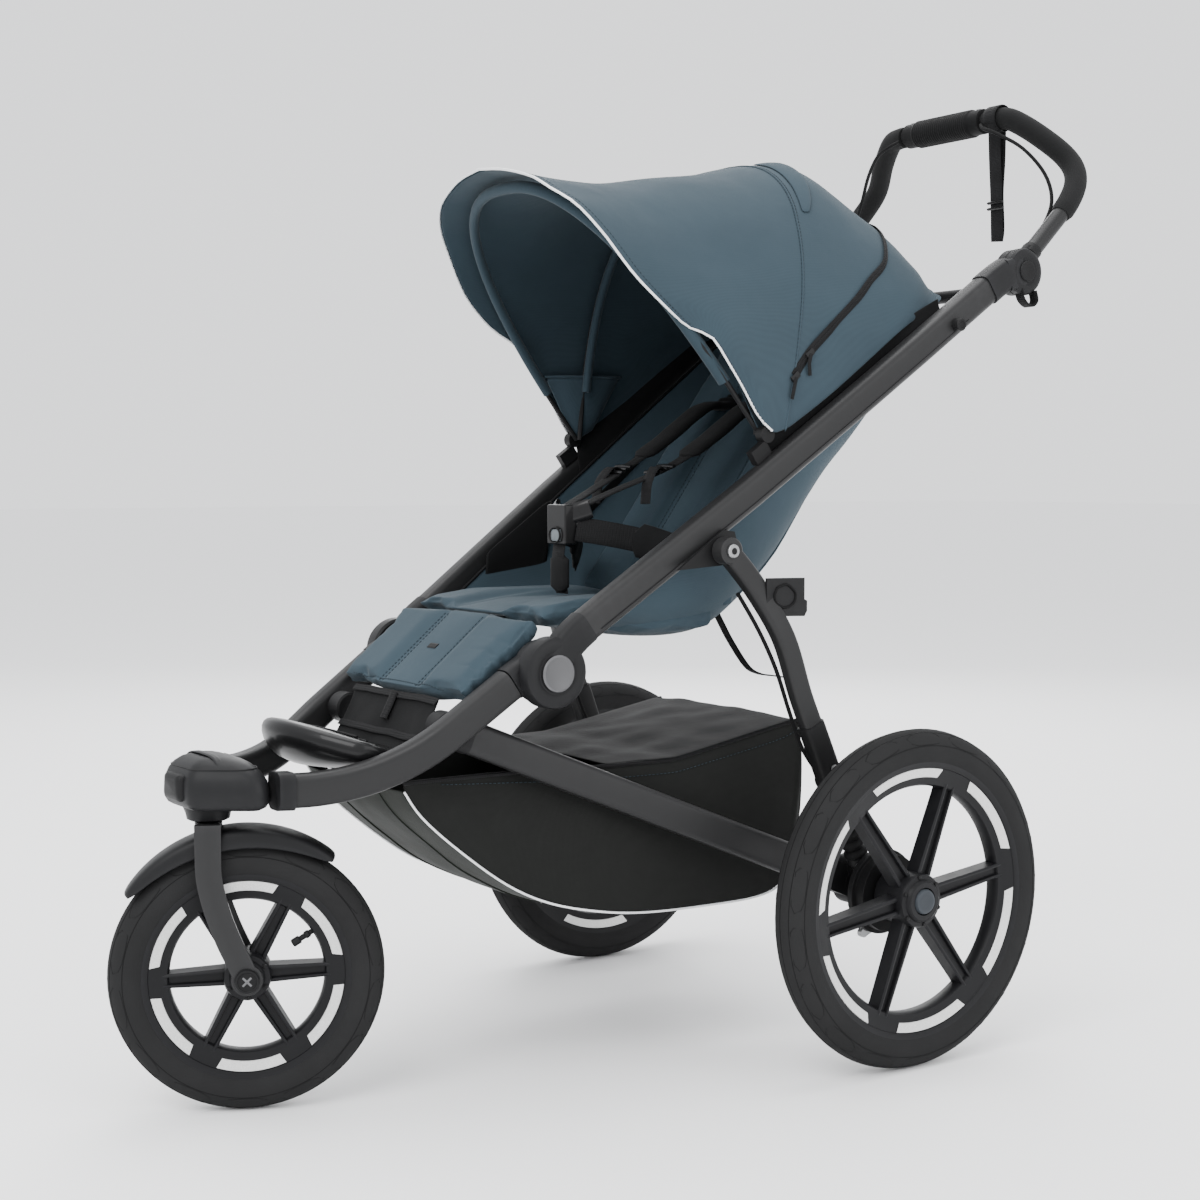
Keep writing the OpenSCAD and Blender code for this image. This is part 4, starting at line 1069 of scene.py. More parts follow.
def tub_rows(steps, count):
    lows = spline([(0, *p) for p in TUB_LOW], steps)
    rows = []
    for i, low in enumerate(lows):
        share = i / (len(lows) - 1)
        y = -118 + 480 * share
        top = Vector((0, y, 562 + (y + 92) * 0.7445))
        wide = upper_x(y) - TUBE_W / 2 - 1.2 - 4 * share
        narrow = 151 - 6 * share
        out = heading(lows, i)
        out = Vector((0, out.z, -out.y))
        half = []
        for k in range(31):
            t = math.radians(90 * k / 30)
            v = math.sin(t) ** 0.5
            x = (wide + (narrow - wide) * v) * math.cos(t) ** 0.42 if k < 30 else 0.0
            full = max(0.0, math.sin(math.pi * min(1, v))) * 3 * math.sin(math.pi * share)
            sag = 7 * math.cos(math.pi / 2 * min(1, abs(x) / 150)) * math.sin(math.pi * min(1, share * 1.15))
            p = top.lerp(low, v) + out * sag * v * v
            half.append(Vector((x + full, p.y, p.z)))
        whole = half + [mirrored(p) for p in half[-2::-1]]
        even = resample(whole, count)
        rows.append([p + Vector((0, wrinkle(p, 60, 1.6), wrinkle(p + Vector((200, 0, 0)), 75, 1.6)))
                     if 2 < j < count - 3 else p for j, p in enumerate(even)])
    return rows


def seat_shell():
    count = 61
    steps = 4
    rows = tub_rows(steps, count)
    cut = 3 * steps
    corner = 15
    front = sewn("seat_shell_front", rows[:cut + 2], "seat_cloth", 2.0, 0)
    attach(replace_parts(front, "seat_tub"), "upper_frame")
    for word, part in (("left", slice(0, corner + 2)), ("right", slice(count - corner - 2, count))):
        side = sewn(f"seat_shell_side_{word}", [r[part] for r in rows[cut:]], "seat_cloth", 2.0, 0)
        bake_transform(side)
    back = sewn("seat_shell_back", [r[corner - 1:count - corner + 1] for r in rows[cut:]], "seat_cloth", 2.0, 0)
    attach(back, "backrest")
    for s, word in SIDES:
        edge = [r[0 if s > 0 else -1] + Vector((-s * 1.0, 0, 1.5)) for r in rows]
        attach(pipe(f"seat_edge_{word}", edge, 2.0, "webbing", 8), "upper_frame")
        seam = [r[corner if s > 0 else count - 1 - corner] + Vector((s * 1.2, 0.8, -0.8)) for r in rows[cut:-2]]
        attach(pipe(f"seat_back_seam_{word}", seam, 1.3, "seat_cloth", 8), "backrest")
    pocket = [[Vector((-168.5 + 1.5 * math.sin(k), *(Vector(a).lerp(Vector(b), k / 6)))) for k in range(7)]
              for a, b in (((-74, 596), (-74, 551)), ((-40, 619), (-45, 550)), ((-3, 646), (-14, 549)),
                           ((34, 673), (19, 548)))]
    piece = sewn("seat_pocket_mesh", pocket, "black_cloth", 1.2, 0)
    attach(piece, "upper_frame")
    # Black cloth strip on the far side of the seat: partly the seat fabric's black edging, partly painted shade
    # standing for the shadowed inner face of the far tube.
    lining = [[Vector((-171.0 - 2 * k, y + 12 * k, z + 1.0 * k)) for k in range(3)] for y, z in
              ((70, 640), (100, 668), (140, 700), (180, 736))]
    piece = sewn("seat_wing_edging_and_shade", lining, "black_cloth", 1.2, 0)
    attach(piece, "upper_frame")


# ---------- canopy ----------
FRONT_EDGE = [(212, 88, 748), (207, 71, 765), (205, 48, 800), (205, 27, 827), (202, 11, 850), (196, 2, 858),
              (186, -18, 867), (190, -50, 886), (185, -85, 916), (179, -104, 939), (169, -123, 967),
              (151, -147, 999), (122, -165, 1020), (97, -171, 1034), (50, -179, 1047), (0, -182, 1053)]
HOOPS = [(211, (90, 747), (-60, 1046)), (210, (96, 746), (100, 1070)), (209, (110, 750), (190, 1088)),
         (208, (125, 757), (245, 1090)), (209, (180, 792), (298, 1064)), (210, (240, 835), (352, 1026)),
         (208, (300, 877), (392, 980)), (196, (362, 908), (414, 936))]


def hoop(w, low, top, n=40):
    pts = []
    for i in range(n + 1):
        a = math.pi * i / n
        c, h = math.cos(a), max(0.0, math.sin(a)) ** 0.8
        pts.append(Vector((math.copysign(w * abs(c) ** 0.8, c), low[0] + (top[0] - low[0]) * h,
                           low[1] + (top[1] - low[1]) * h)))
    return pts


def canopy_rows(count=73, steps=6):
    edge = spline(FRONT_EDGE, 5)
    rings = [resample(edge + [mirrored(p) for p in edge[-2::-1]], count)]
    rings += [resample(hoop(*h), count) for h in HOOPS]
    columns = [spline([r[j] for r in rings], steps) for j in range(count)]
    rows = [[c[i] for c in columns] for i in range(len(columns[0]))]
    out = []
    for i, row in enumerate(rows):
        free = min(1, i / 4) * min(1, (len(rows) - 1 - i) / 3)
        line = []
        for j, p in enumerate(row):
            n = Vector((p.x, p.y - 130, p.z - 860)).normalized()
            rim = min(1, j / 5, (count - 1 - j) / 5)
            line.append(p + n * free * rim * (wrinkle((p.x * 0.6, p.y, p.z), 95, 3.0)
                                              + wrinkle((p.x, p.y, p.z * 1.7), 38, 0.9) - 1.5))
        out.append(line)
    return out


def canopy_blend(obj):
    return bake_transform(obj)


def canopy():
    count, steps = 73, 6
    rows = canopy_rows(count, steps)
    shell = sewn("canopy_shell", rows, "canopy_cloth", 1.3, 0)
    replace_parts(shell, "canopy_fabric")
    canopy_blend(shell)

    def inward(p, d):
        return p + (Vector((0, 130, 850)) - p).normalized() * d

    lining = sewn("canopy_lining", [[inward(p, 2.6) for p in r] for r in rows], "lining_cloth", 0.9, 0)
    canopy_blend(lining)
    canopy_blend(pipe("canopy_piping", rows[0], 1.45, "piping", 10))
    outward = [[inward(p, -0.9) for p in r] for r in rows]
    canopy_blend(dashes("canopy_edge_stitch", outward[1], lambda p: p - Vector((0, 130, 850)), "thread", 3.0, 5.0))
    bow_row = 3 * steps
    canopy_blend(pipe("canopy_bow_seam", [inward(p, -0.4) for p in rows[bow_row]], 1.5, "canopy_cloth", 8))
    for d in (-1, 1):
        line = [a.lerp(b, 0.22) for a, b in zip(outward[bow_row], outward[bow_row + d])]
        canopy_blend(dashes(f"canopy_bow_stitch_{'a' if d < 0 else 'b'}", line,
                            lambda p: p - Vector((0, 130, 850)), "thread", 3.0, 5.0))
    rear = [inward(p, -0.5) for p in rows[-3]]
    canopy_blend(pipe("canopy_rear_seam", rear, 1.2, "canopy_cloth", 8))
    # Zip round the back, from one side to the other
    def surface(i, j):
        i0, j0 = int(i), int(j)
        i1, j1 = min(i0 + 1, len(rows) - 1), min(j0 + 1, count - 1)
        a = rows[i0][j0].lerp(rows[i0][j1], j - j0)
        b = rows[i1][j0].lerp(rows[i1][j1], j - j0)
        return a.lerp(b, i - i0)

    def nearest(target):
        best = min(((r[j] - target).length, i, j) for i, r in enumerate(rows) for j in range(count // 2))
        return best[1], best[2]

    line = []
    for y, z in ((122, 816), (150, 840), (190, 875), (230, 912), (262, 942), (290, 967)):
        i, j = nearest(Vector((207, y, z)))
        line.append((i, j))
    track = [rows[i][j] for i, j in line]
    last_i, last_j = line[-1]
    for k in range(1, 9):
        j = last_j + (count / 2 - last_j) * k / 8
        track.append(surface(min(len(rows) - 4, last_i + 2.5 * math.sin(k / 8 * math.pi / 2)), j))
    near = resample(spline(track, 4), 60)
    whole = near + [mirrored(p) for p in near[-2::-1]]

    def away(p):
        return (p - Vector((0, 130, 850))).normalized()

    section = [(-6.0, -0.7), (-5.2, 0.4), (-1.6, 0.6), (-1.2, 1.6), (1.2, 1.6), (1.6, 0.6), (5.2, 0.4), (6.0, -0.7)]
    band = []
    for i, p in enumerate(whole):
        t = heading(whole, i)
        n = away(p)
        n = (n - t * n.dot(t)).normalized()
        side = t.cross(n)
        band.append([p + n * (1.4 + h) + side * w for w, h in section])
    canopy_blend(grid("canopy_zip_band", band, "webbing", angle=60))
    for side, word in SIDES:
        for k in range(2):
            p = track[0 if k == 0 else 1]
            p = p if side > 0 else mirrored(p)
            n = away(p)
            head = ribbon(f"zip_slider_{word}_{k}", [p + n * 3.4 + Vector((0, -5, -4)), p + n * 4.2,
                                                     p + n * 3.4 + Vector((0, 5, 4))], 8, 3, "dark_plastic",
                          Vector((0, 0.6, -0.8)))
            hang = [p + n * 5, p + n * 5.4 + Vector((side, -4, -12)),
                    p + n * 4.6 + Vector((side, -7 + 5 * k, -26))]
            pull = ribbon(f"zip_pull_{word}_{k}", hang, 5.5, 1.6, "webbing", Vector((0, 0.9, -0.3)))
            canopy_blend(head)
            canopy_blend(pull)
    # Vent flap behind the shoulder seam
    flap = []
    for k in range(15):
        j = count * 0.30 + (count * 0.16) * k / 14
        swell = math.sin(math.pi * k / 14) ** 0.6
        a = surface(bow_row + 1.0, j)
        flap.append([a + away(a) * 1.8, surface(bow_row + 2.2, j) + away(a) * (2.2 + 2.5 * swell),
                     surface(bow_row + 2.4 + 1.6 * swell, j) + away(a) * (2.2 + 3.5 * swell)])
    piece = sewn("canopy_vent_flap", flap, "canopy_cloth", 1.6, 0)
    canopy_blend(piece)
    # Sleeves that hold the two bows against the lining
    for name, joint_turn, rise, width in (("front", 129, 372, 189), ("middle", 86, 300, 178)):
        path = []
        for i in range(2, 43):
            a = math.pi * i / 44
            c, h = math.cos(a), math.sin(a) ** 0.8
            path.append(Vector((math.copysign(width * abs(c) ** 0.8, c),
                                CANOPY.y + rise * h * math.cos(math.radians(joint_turn)),
                                CANOPY.z + rise * h * math.sin(math.radians(joint_turn)))))
        sleeve = pipe(f"canopy_sleeve_{name}", path, 7.5 if name == "front" else 7.0, "lining_cloth", 14, 0.8)
        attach(sleeve, "front_bow" if name == "front" else "mid_bow")
    lows = [Vector((208, *h[1])) for h in HOOPS]
    for side, word in SIDES:
        panel = []
        for p in resample(lows, 30):
            foot = Vector((upper_x(p.y) - TUBE_W / 2 - 1, p.y, 562 + (p.y + 92) * 0.7445 - 2))
            head = Vector((206, p.y - 2, p.z + 9))
            panel.append([Vector((side * (q.x - 2.5 * math.sin(math.pi * v / 5)), q.y, q.z))
                          for v, q in ((v, head.lerp(foot, v / 5)) for v in range(6))])
        piece = sewn(f"canopy_side_mesh_{word}", panel, "black_cloth", 1.0, 0)
        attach(piece, "upper_frame")
        pocket = []
        for v in range(9):
            t = v / 8
            a = Vector((0, 36, 826)).lerp(Vector((0, 84, 742)), t)
            b = Vector((0, 158, 828)).lerp(Vector((0, 112, 756)), t)
            pocket.append([Vector((side * (196 - 16 * math.sin(math.pi * u / 8) ** 0.5 * (1 - t) ** 0.4),
                                   *a.lerp(b, u / 8).yz)) for u in range(9)])
        piece = sewn(f"canopy_ear_pocket_{word}", pocket, "canopy_cloth", 1.8, 0)
        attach(piece, "upper_frame")
        rim = [q + Vector((-side * 0.6, 0, 0.6)) for q in pocket[0]]
        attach(pipe(f"canopy_ear_rim_{word}", rim, 2.0, "canopy_cloth", 8), "upper_frame")


# ---------- basket ----------
BASKET = [(-352, 352), (-330, 321), (-283, 279), (-222, 234), (-169, 208), (-108, 193), (-47, 185), (36, 182),
          (120, 183), (160, 196), (178, 232), (190, 283)]
BASKET_W = [118, 119, 120.4, 122.5, 130.6, 142.6, 146, 147, 147, 147, 147, 147]


def basket_hem(y):
    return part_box("basket_cover")[0].z * 1000 - 1 + max(0, y) * 0.18


def basket():
    low = spline([(w, y, z) for w, (y, z) in zip(BASKET_W, BASKET)], 5)
    sides = {}
    for s, word in SIDES:
        rows = []
        for i, p in enumerate(low):
            top = max(basket_hem(p.y), p.z + 2)
            row = []
            for k in range(13):
                v = k / 12
                tall = (top - p.z) / 150
                swell = 4.5 * math.sin(math.pi * v) * tall - 5 * (1 - v) ** 2 * tall
                fold = wrinkle((p.x, p.y * 0.5, p.z + v * 90 + 40 * s), 34, 2.2) * math.sin(math.pi * v)
                row.append(Vector((s * (p.x + swell + fold), p.y, top + (p.z - top) * v)))
            rows.append(row)
        sides[s] = rows
        side = sewn(f"basket_side_{word}", rows, "basket_cloth", 1.6, 0)
        if s > 0:
            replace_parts(side, "basket")
        soft_basket(side)
        edge = [r[-1] + Vector((s * 1.2, 0, -0.6)) for r in rows[:-6]]
        soft_basket(pipe(f"basket_piping_{word}", edge, 1.35, "piping", 10))
        hem = [r[0] + Vector((s * 0.8, 0, 0)) for r in rows]
        soft_basket(pipe(f"basket_hem_{word}", hem, 2.6, "webbing", 8))
        lower = [r[1] + Vector((s * 1.6, 0, 0)) for r in rows[8:]]
        soft_basket(dashes(f"basket_stitch_{word}", lower, (s, 0, 0), "thread", 3.2, 5.5))
    floor = []
    for i, (a, b) in enumerate(zip(sides[1], sides[-1])):
        row = []
        for k in range(21):
            u = k / 20
            p = a[-1].lerp(b[-1], u)
            free = math.sin(math.pi * u)
            out = heading([r[-1] for r in sides[1]], i)
            out = Vector((0, out.z, -out.y))
            row.append(p + out * free * (5 + wrinkle((p.x, p.y, 7), 55, 3.5)))
        floor.append(row)
    front = 25
    soft_basket(sewn("basket_front_panel", floor[:front + 1], "panel_cloth", 1.6, 0))
    soft_basket(sewn("basket_floor", floor[front:], "basket_cloth", 1.6, 0))
    back_low = [floor[-1][k] for k in range(21)]
    wall = [[p.lerp(Vector((p.x, 188, basket_hem(188))), v / 8) + Vector((0, 2.5 * math.sin(math.pi * v / 8), 0))
             for p in back_low] for v in range(9)]
    soft_basket(sewn("basket_back_wall", wall, "basket_cloth", 1.6, 0))
    for k, u in enumerate((5, 15)):
        seam = [r[u] + Vector((0, -0.5, -1.4)) for r in floor[1:front]]
        soft_basket(pipe(f"basket_front_seam_{k}", seam, 1.0, "panel_cloth", 6))
    rows = []
    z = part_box("basket_cover")[0].z * 1000
    for i in range(24):
        y = -97 + 279 * i / 23
        w = 140 if y < -47 else 145
        rows.append([Vector((x, y, z + max(0, y) * 0.18 + 1
                             + 5 * (1 - (x / 150) ** 2) * min(1, (y + 97) / 50)
                             + wrinkle((x, y, 11), 42, 3.2) * (1 - (x / 148) ** 4)))
                     for x in (w * (k - 12) / 12 for k in range(25))])
    cover = sewn("basket_cover_cloth", rows, "black_cloth", 1.6, 0)
    soft_basket(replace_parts(cover, "basket_cover"))
    tag = [Vector((-60, -352, 356)), Vector((-60, -349, 341)), Vector((-60, -340, 330))]
    soft_basket(ribbon("basket_tag", tag, 10, 1.2, "piping"))


def soft_basket(obj):
    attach(obj, "rear_carrier")
    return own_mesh(obj)


# ---------- rear carrier ----------
STAY_A, STAY_B = Vector((118, -300, 418)), Vector((220, 213, 200))


def on_stay(s):
    full = math.hypot(STAY_B.y - STAY_A.y, STAY_B.z - STAY_A.z)
    return STAY_A.lerp(STAY_B, s / full)


def carrier():
    for side, word in SIDES:
        stay = section_bar(f"stay_{word}_skin", flip([on_stay(s) for s in (14, 60, 250, 440, 497)], side), 24, 38,
                           "frame_paint", corner=8)
        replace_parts(stay, f"stay_{word}")
        sleeve = section_bar(f"stay_end_{word}", flip([on_stay(s) for s in (472, 499)], side), 24, 38,
                             "dark_plastic", corner=8, grow=1.4)
        root = section_bar(f"stay_root_{word}", flip([on_stay(s) for s in (6, 30)], side), 24, 38,
                           "dark_plastic", corner=8, grow=1.0)
        eye = turned(f"stay_eye_{word}", flip([STAY_A], side)[0], [(-13, 0), (-13, 16), (-11.5, 18.6), (11.5, 18.6),
                                                                    (13, 16), (13, 0)], "dark_plastic")
        bolt = turned(f"stay_bolt_{word}", flip([STAY_A], side)[0],
                      [(13, 0), (13, 7), (14.5, 7), (15.4, 6), (15.4, 3.4), (14.2, 3), (14.2, 0)],
                      "steel", (side, 0, 0), 24)
        for piece in (stay, sleeve, root, eye, bolt):
            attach(piece, "rear_carrier")
        for k in range(6):
            a = math.radians(15 + 60 * k)
            c = Vector((side * 265.5, AXLE.y + 46 * math.cos(a), AXLE.z + 46 * math.sin(a)))
            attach(turned(f"plate_bolt_{word}_{k}", c, [(0, 3.6), (1.8, 3.4), (2.4, 2), (2.4, 0)], "steel",
                           (-side, 0, 0), 12), "rear_carrier")
        cable = spline([(side * 243, 165, 336), (side * 241, 178, 285), (side * 243, 196, 225),
                        (side * 246, 206, 182), (side * 250, 210, 152)], 5)
        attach(pipe(f"brake_cable_end_{word}", cable, 2.2, "rubber", 10), "rear_carrier")
        adjuster = turned(f"brake_adjuster_{word}", (side * 250, 210, 150),
                          [(-2, 0), (-2, 4), (6, 4), (7, 3), (14, 3), (14, 4.4), (18, 4.4), (18, 0)],
                          "steel", (0, 0, 1), 16)
        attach(adjuster, "rear_carrier")
    soften("axle_housings", "dark_plastic", "rear_carrier", 2.2)
    soften("brake_backplates", "dark_plastic", "rear_carrier", 1.6)
    soften("brake_pedal", "dark_plastic", "pedal", 2.0)
    keep("axle_beam", "frame_paint")
    keep("brake_arm_left", "steel")
    keep("brake_arm_right", "steel")


LINK = [(227, 10, 610), (229, 50, 566), (239, 84, 508), (243, 107, 440), (245, 129, 388), (248, 150, 336)]


def links():
    line = spline(LINK, 6)
    for side, word in SIDES:
        bar = section_bar(f"rear_link_{word}_skin", flip(line[1:], side), 20, 26, "frame_paint", corner=6)
        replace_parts(bar, f"rear_link_{word}")
        eye = turned(f"rear_link_{word}_eye", flip([Vector((227, 10, 610))], side)[0],
                     [(-10, 0), (-10, 13.5), (-8.6, 15.6), (8.6, 15.6), (10, 13.8), (10, 0)], "frame_paint",
                     (side, 0, 0), 40)
        bolt = turned(f"rear_link_{word}_bolt", flip([Vector((227, 10, 610))], side)[0],
                      [(10, 0), (10, 8), (12.4, 8), (13.4, 7), (13.4, 4), (12, 3.6), (12, 0)], "steel",
                      (side, 0, 0), 24)
        sleeve = section_bar(f"rear_link_{word}_cap", flip(line[-9:], side), 20, 26, "dark_plastic",
                             corner=6, grow=1.6)
        low = turned(f"rear_link_{word}_boss", flip([Vector((248, 150, 338))], side)[0],
                     [(-13, 0), (-13, 13), (-11.5, 14.5), (11.5, 14.5), (13, 13), (13, 0)], "dark_plastic",
                     (side, 0, 0), 32)
        screw = turned(f"rear_link_{word}_screw", flip([Vector((248, 146, 352))], side)[0],
                       [(11.6, 0), (11.6, 4.6), (13, 4.4), (13.6, 3.2), (12.8, 2.6), (12.8, 0)], "steel",
                       (side, 0, 0), 20)
        for piece in (bar, eye, bolt, sleeve, low, screw):
            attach(piece, "rear_links")
        a, b = Vector((side * 248, 150.5, 334)), Vector((side * 248, 194, 240))
        reach = (b - a).length
        profile = [(0, 0)]
        ribs = 8
        for k in range(ribs):
            x = reach * k / ribs
            step = reach / ribs
            profile += [(x + 0.6, 10.8), (x + step * 0.3, 14.4), (x + step * 0.5, 15.4), (x + step * 0.7, 14.4)]
        profile += [(reach, 11), (reach, 0)]
        bellows = turned(f"bellows_{word}", a, profile, "rubber", b - a, 40, 60)
        if side > 0:
            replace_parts(bellows, "suspension_bellows")
        foot = turned(f"bellows_foot_{word}", b,
                      [(-2, 0), (-2, 12.6), (0, 13.6), (6, 13.6), (9, 11), (22, 9), (22, 0)],
                      "dark_plastic", b - a, 32)
        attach(bellows, "rear_links")
        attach(foot, "rear_links")
    keep("link_cables", "rubber")
    # Tether plate with its ring, on the near link
    outline = [(57, 578), (114, 577), (114, 552), (118, 550), (118, 538), (114, 532), (57, 534)]
    bm = bmesh.new()
    rings = [[bm.verts.new(mm((x, y, z))) for y, z in outline] for x in (238.6, 241.4)]
    bm.faces.new(rings[0])
    bm.faces.new(rings[1][::-1])
    for i in range(len(outline)):
        j = (i + 1) % len(outline)
        bm.faces.new((rings[0][i], rings[0][j], rings[1][j], rings[1][i]))
    edges = [e for e in bm.edges if e.calc_face_angle(0) > 0.6]
    bmesh.ops.bevel(bm, geom=edges, offset=0.0022, segments=3, profile=0.5, affect="EDGES", clamp_overlap=True)
    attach(finish_mesh(bm, "tether_plate_left", "dark_plastic", 40), "rear_links")
    loop = [Vector((241.8, y, z)) for y, z in ((72, 566), (86, 570), (98, 562), (100, 555), (96, 547),
                                                     (84, 543), (72, 548), (68, 557), (72, 566))]
    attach(pipe("tether_ring_left", spline(loop, 3), 1.6, "rubber", 10), "rear_links")
    strap = spline([(100, 88, 538), (100, 100, 518), (101, 116, 492), (102, 141, 460), (103, 160, 450),
                    (103, 178, 447), (103, 196, 444)], 5)
    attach(ribbon("seat_web_loop", strap, 14, 1.8, "webbing"), "upper_frame")


# ---------- harness ----------
ALONG = Vector((0, math.cos(math.radians(54)), math.sin(math.radians(54))))
FACE = Vector((0, -ALONG.z, ALONG.y))


def on_back(x, s, off):
    return Vector((x, 75, 527)) + ALONG * s + FACE * (26 + off)


def harness():
    for side, word in SIDES:
        path = spline([on_back(side * 46, 318, 5.0), on_back(side * 47, 296, 9), Vector((side * 48, 184, 782)),
                       Vector((side * 47, 118, 738)), Vector((side * 45, 60, 706)), Vector((side * 24, -10, 676)),
                       Vector((side * 15, -57.4, 655))], 7)
        web = ribbon(f"shoulder_web_{word}", path, 24, 1.7, "webbing")
        if side > 0:
            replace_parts(web, "harness_straps")
        pieces = [web]
        pad_path = path[3:26]
        rows = []
        for i, p in enumerate(pad_path):
            t = heading(pad_path, i)
            a = Vector((1, 0, 0))
            a = (a - t * a.dot(t)).normalized()
            n = t.cross(a)
            if n.z < 0:
                n = -n
            tip = min(1, i / 2.0 + 0.55, (len(pad_path) - 1 - i) / 2.0 + 0.55)
            w, h = 20 * tip, 5.6 * tip + 0.4 * math.sin(i * 1.7)
            rows.append(oval(p, a, n, w, h, 20, rise=0.8, lift=1.2))
        pad = grid(f"shoulder_pad_{word}", rows, "black_cloth", closed=True, caps=True, angle=60)
        pieces.append(pad)
        clip = path[29]
        t = heading(path, 29)
        up = Vector((0, -t.z, t.y))
        if up.z < 0:
            up = -up
        for k, (d, h) in enumerate(((-9, 2.6), (0, 3.4), (9, 2.6))):
            c = clip + t * d
            bar = [c + up * h - Vector((17, 0, 0)), c + up * (h + 1.2), c + up * h + Vector((17, 0, 0))]
            pieces.append(ribbon(f"shoulder_slider_{word}_{k}", bar, 6, 4, "gloss_black", t))
        tail = [clip + up * 1.5, clip + Vector((side * 5, -12, 4)), clip + Vector((side * 9, -26, -14)),
                clip + Vector((side * 10, -30, -40))]
        pieces.append(ribbon(f"shoulder_tail_{word}", spline(tail, 4), 20, 1.5, "webbing"))
        for piece in pieces:
            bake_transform(piece)
        lap = spline([(side * 24, -61, 632), (side * 48, -32, 626), (side * 70, 0, 618), (side * 96, 20, 608),
                      (side * 118, 36, 600), (side * 141, 52, 584)], 5)
        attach(ribbon(f"lap_web_{word}", lap, 30, 1.8, "webbing", (0, 0.25, 0.97)), "upper_frame")
        hip = lap[9:24]
        rows = []
        for i, p in enumerate(hip):
            t = heading(hip, i)
            a = Vector((0, 0.25, 0.97))
            a = (a - t * a.dot(t)).normalized()
            n = t.cross(a)
            tip = min(1, i / 2.0 + 0.5, (len(hip) - 1 - i) / 2.0 + 0.5)
            rows.append(oval(p, a, n, 21 * tip, 4.6 * tip, 16))
        pad = grid(f"hip_pad_{word}", rows, "black_cloth", closed=True, caps=True, angle=60)
        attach(pad, "upper_frame")
        tongue = ribbon(f"buckle_tongue_{word}", [Vector((side * 18, -63, 650)), Vector((side * 27, -57, 653)),
                                                  Vector((side * 35, -48, 657))], 24, 6, "gloss_black", (0, 0, 1))
        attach(tongue, "upper_frame")
    crotch = spline([(0, -66, 553), (0, -70, 575), (0, -72, 596), (0, -69, 616)], 5)
    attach(ribbon("crotch_web", crotch, 26, 1.9, "webbing"), "upper_frame")
    rows = []
    for i in range(9):
        z = 556 + 44 * i / 8
        tip = min(1, i / 2 + 0.5, (8 - i) / 2 + 0.5)
        rows.append(oval(Vector((0, -69.5, z)), Vector((1, 0, 0)), Vector((0, 1, 0)), 19 * tip, 4.4 * tip, 16))
    pad = grid("crotch_pad", rows, "black_cloth", closed=True, caps=True, angle=60)
    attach(pad, "upper_frame")
    soften("harness_buckle", "gloss_black", "upper_frame", 3.0)
    keep("buckle_button", "button_grey")
    ring = [Vector((11.5 * math.cos(q), -77.2, 624 + 9.5 * math.sin(q))) for q in
            (2 * math.pi * k / 32 for k in range(33))]
    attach(pipe("buckle_ring", ring, 1.1, "dark_plastic", 8), "upper_frame")


# ---------- handle ----------
HANDLE_HALF = [(221, 502, 976.6), (218, 535, 1005.6), (215, 582, 1050.6), (204, 608, 1085.6), (182, 614, 1115.6),
               (150, 596, 1147.6), (116, 580, 1171.6), (92, 574.5, 1175.6), (80, 574, 1175.6)]


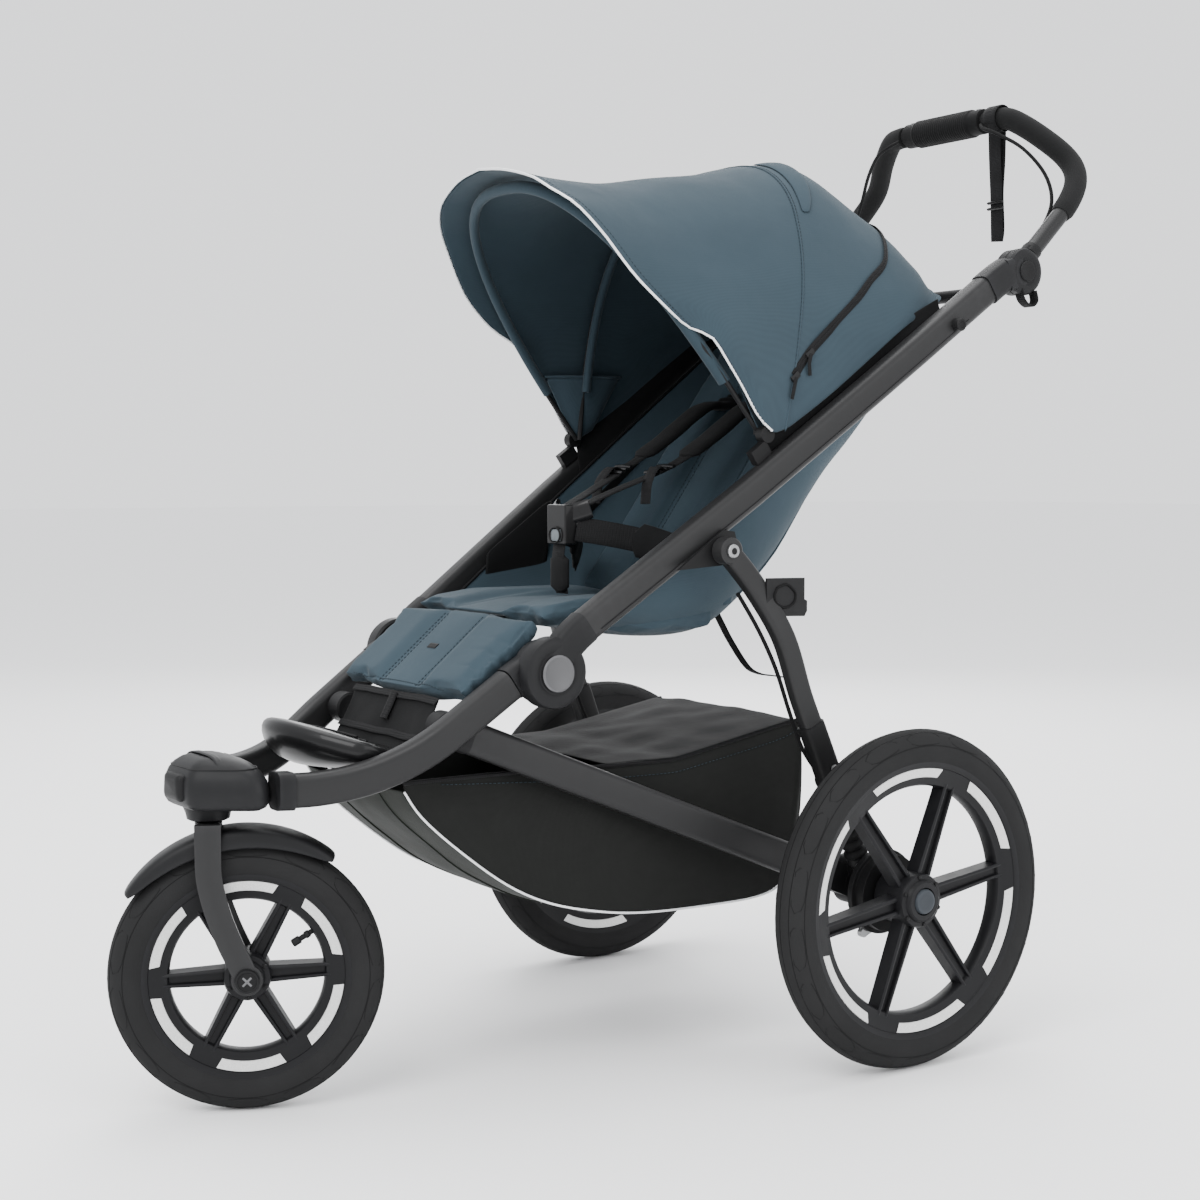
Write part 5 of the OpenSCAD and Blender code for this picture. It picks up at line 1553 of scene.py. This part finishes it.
def handle():
    half = spline(HANDLE_HALF, 8)
    whole = half + [Vector((x, 574, 1175.6)) for x in (50, 25, 0)]
    whole = whole + [mirrored(p) for p in whole[-2::-1]]
    bar = pipe("handlebar_tube", whole, 11.2, "frame_paint", 24)
    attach(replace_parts(bar, "handlebar"), "handle")
    for side, word in SIDES:
        cover = flip(half[13:], side)
        soft = pipe(f"foam_{word}", cover, lambda t: 14.6 - 2.2 * max(0, 1 - t * 55) - 1.2 * max(0, 1 - (1 - t) * 55),
                    "foam", 28)
        if side > 0:
            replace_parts(soft, "foam_grip")
        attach(soft, "handle")
        arm_path = flip([Vector((220.5, 480.6097, 957.6)), Vector((220.8, 490, 965.5)),
                         Vector((221, 507, 981.5))], side)
        arm = section_bar(f"handle_arm_{word}", arm_path, 14.7, 27, "dark_plastic", corner=6)
        root = turned(f"handle_root_{word}", Vector((side * 213, HANDLE.y, HANDLE.z)),
                      [(0, 0), (0, 26), (1.6, 28.8), (13.4, 29), (14.7, 28), (14.7, 0)], "dark_plastic", (side, 0, 0))
        ferrule = pipe(f"handle_ferrule_{word}", flip(half[:4], side), 12.6, "dark_plastic", 24)
        for piece in (arm, root, ferrule):
            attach(piece, "handle")
        disc = turned(f"handle_disc_{word}", Vector((side * 229, HANDLE.y, HANDLE.z)),
                      [(0, 0), (0, 28.6), (1, 29.6), (8.5, 29.6), (11.6, 27.8), (13.4, 24.6), (13.9, 20.5),
                       (12.9, 17.4), (12.4, 16.6), (12.4, 14.0), (13.2, 13.5), (13.2, 0)],
                      "casting_plastic", (side, 0, 0))
        neck = [Vector((upper_x(y) + 0.4, y, tube_z(y) - drop))
                for y, drop in ((418, 0), (430, 0), (444, 1), (456, 3))]
        neck_piece = section_bar(f"handle_neck_{word}", flip(neck, side), TUBE_W, TUBE_H, "casting_plastic", grow=1.4)
        cheek = section_bar(f"handle_cheek_{word}", flip([Vector((236, 448, tube_z(448) - 2)),
                                                          Vector((236, 474, HANDLE.z))], side), 13, 40,
                            "casting_plastic", corner=5)
        if side > 0:
            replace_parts(disc, "handle_housings")
        for piece in (disc, neck_piece, cheek):
            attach(piece, "upper_frame")
        button = turned(f"height_button_{word}_cap", Vector((side * 243, HANDLE.y, HANDLE.z)),
                        [(-4, 0), (-4, 13.2), (0.8, 13.2), (2, 12.4), (2.2, 10.6), (1.2, 6), (1.0, 0)],
                        "dark_plastic", (side, 0, 0), 48)
        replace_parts(button, f"height_button_{word}")
        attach(button, f"height_release_{word[0]}")
        loop = spline([(side * 236, 470, 931), (side * 237, 474, 918), (side * 238, 486, 910), (side * 238, 496, 917),
                       (side * 237, 494, 930)], 4)
        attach(ribbon(f"housing_loop_{word}", loop, 15, 1.8, "webbing"), "upper_frame")
    keep("handle_cables", "rubber")
    # Twist grip with its collars and ribs
    profile = [(-73, 0), (-73, 15.6), (-72, 16.8), (-55, 16.8), (-53.5, 17.2), (-52, 18.2)]
    for k in range(26):
        x = -50 + k * 4
        profile += [(x, 19.0), (x + 1.2, 18.3), (x + 2.4, 18.3)]
    profile += [(52, 18.2), (53.5, 17.2), (55, 16.8), (72, 16.8), (73, 15.6), (73, 0)]
    grip = turned("twist_grip_body", (0, 574, 1175.6), profile, "rubber", (1, 0, 0), 48, 40)
    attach(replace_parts(grip, "brake_grip"), "twist_grip")
    for k, x in enumerate((-63, 63)):
        mark = ribbon(f"grip_mark_{k}", [Vector((x, 570, 1192.5)), Vector((x, 574, 1192.9)),
                                         Vector((x, 578, 1192.5))], 7, 0.8, "steel")
        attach(mark, "twist_grip")
    # Wrist strap: a loop round the foam and a long tail folded up on itself
    x = 95
    ring = [Vector((x, 575 + 17.4 * math.cos(q), 1175 + 17.4 * math.sin(q))) for q in
            (2 * math.pi * k / 36 for k in range(37))]
    strap = ribbon("wrist_strap_ring", ring, 22, 1.8, "webbing")
    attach(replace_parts(strap, "wrist_strap"), "handle")
    front = spline([(x, 569, 1160), (x, 571, 1120), (x + 1, 573.5, 1070), (x + 1, 575, 1030), (x, 577, 1012)], 6)
    rear = spline([(x, 580, 1160), (x + 1, 578.5, 1120), (x, 577, 1075), (x + 1, 578.5, 1030), (x, 577, 1012)], 6)
    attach(ribbon("wrist_strap_front", front, 22, 1.6, "webbing"), "handle")
    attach(ribbon("wrist_strap_rear", rear, 22, 1.6, "webbing"), "handle")
    for k, z in enumerate((1064, 1056)):
        bar = [Vector((x - 13, 572, z)), Vector((x, 571.2, z)), Vector((x + 14, 572, z))]
        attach(ribbon(f"wrist_slider_{k}", bar, 4, 4, "gloss_black", (0, 0, 1)), "handle")


# ---------- brackets, bar, studs, clips ----------
def fittings():
    soften("link_brackets", "dark_plastic", "upper_frame", 1.4)
    soften("rear_cross_bar", "dark_plastic", "upper_frame", 2.0)
    soften("canopy_clips", "dark_plastic", "upper_frame", 2.2)
    keep("frame_pins", "steel")
    for side, word in SIDES:
        low, high = (v * 1000 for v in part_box("accessory_studs"))
        y, z = (low.y + high.y) / 2, (low.z + high.z) / 2
        stud = turned(f"stud_{word}_boss", (side * (high.x - 10), y, z),
                      [(0, 0), (0, 8), (8.4, 8), (9.6, 7), (10, 5), (9, 4), (9, 0)], "dark_plastic", (side, 0, 0), 32)
        if side > 0:
            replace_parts(stud, "accessory_studs")
        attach(stud, "upper_frame")
    keep("canopy_front_bow", "dark_plastic")
    keep("canopy_mid_bow", "dark_plastic")


floor = bpy.data.meshes.new("floor")
floor.from_pydata([(-40, -40, 0), (40, -40, 0), (40, 40, 0), (-40, 40, 0)], [], [(0, 1, 2, 3)])
ground = link(bpy.data.objects.new("floor", floor))
ground_look = Paint("floor", (0.95, 0.95, 0.953), 0.8, Specular_IOR_Level=0.1)
floor.materials.append(ground_look.material)

frame_tubes()
hinges()
nose()
fork()
fender()
wheels()
footrest()
footwell_panel()
legrest()
seat_pads()
seat_shell()
canopy()
basket()
carrier()
links()
harness()
handle()
fittings()
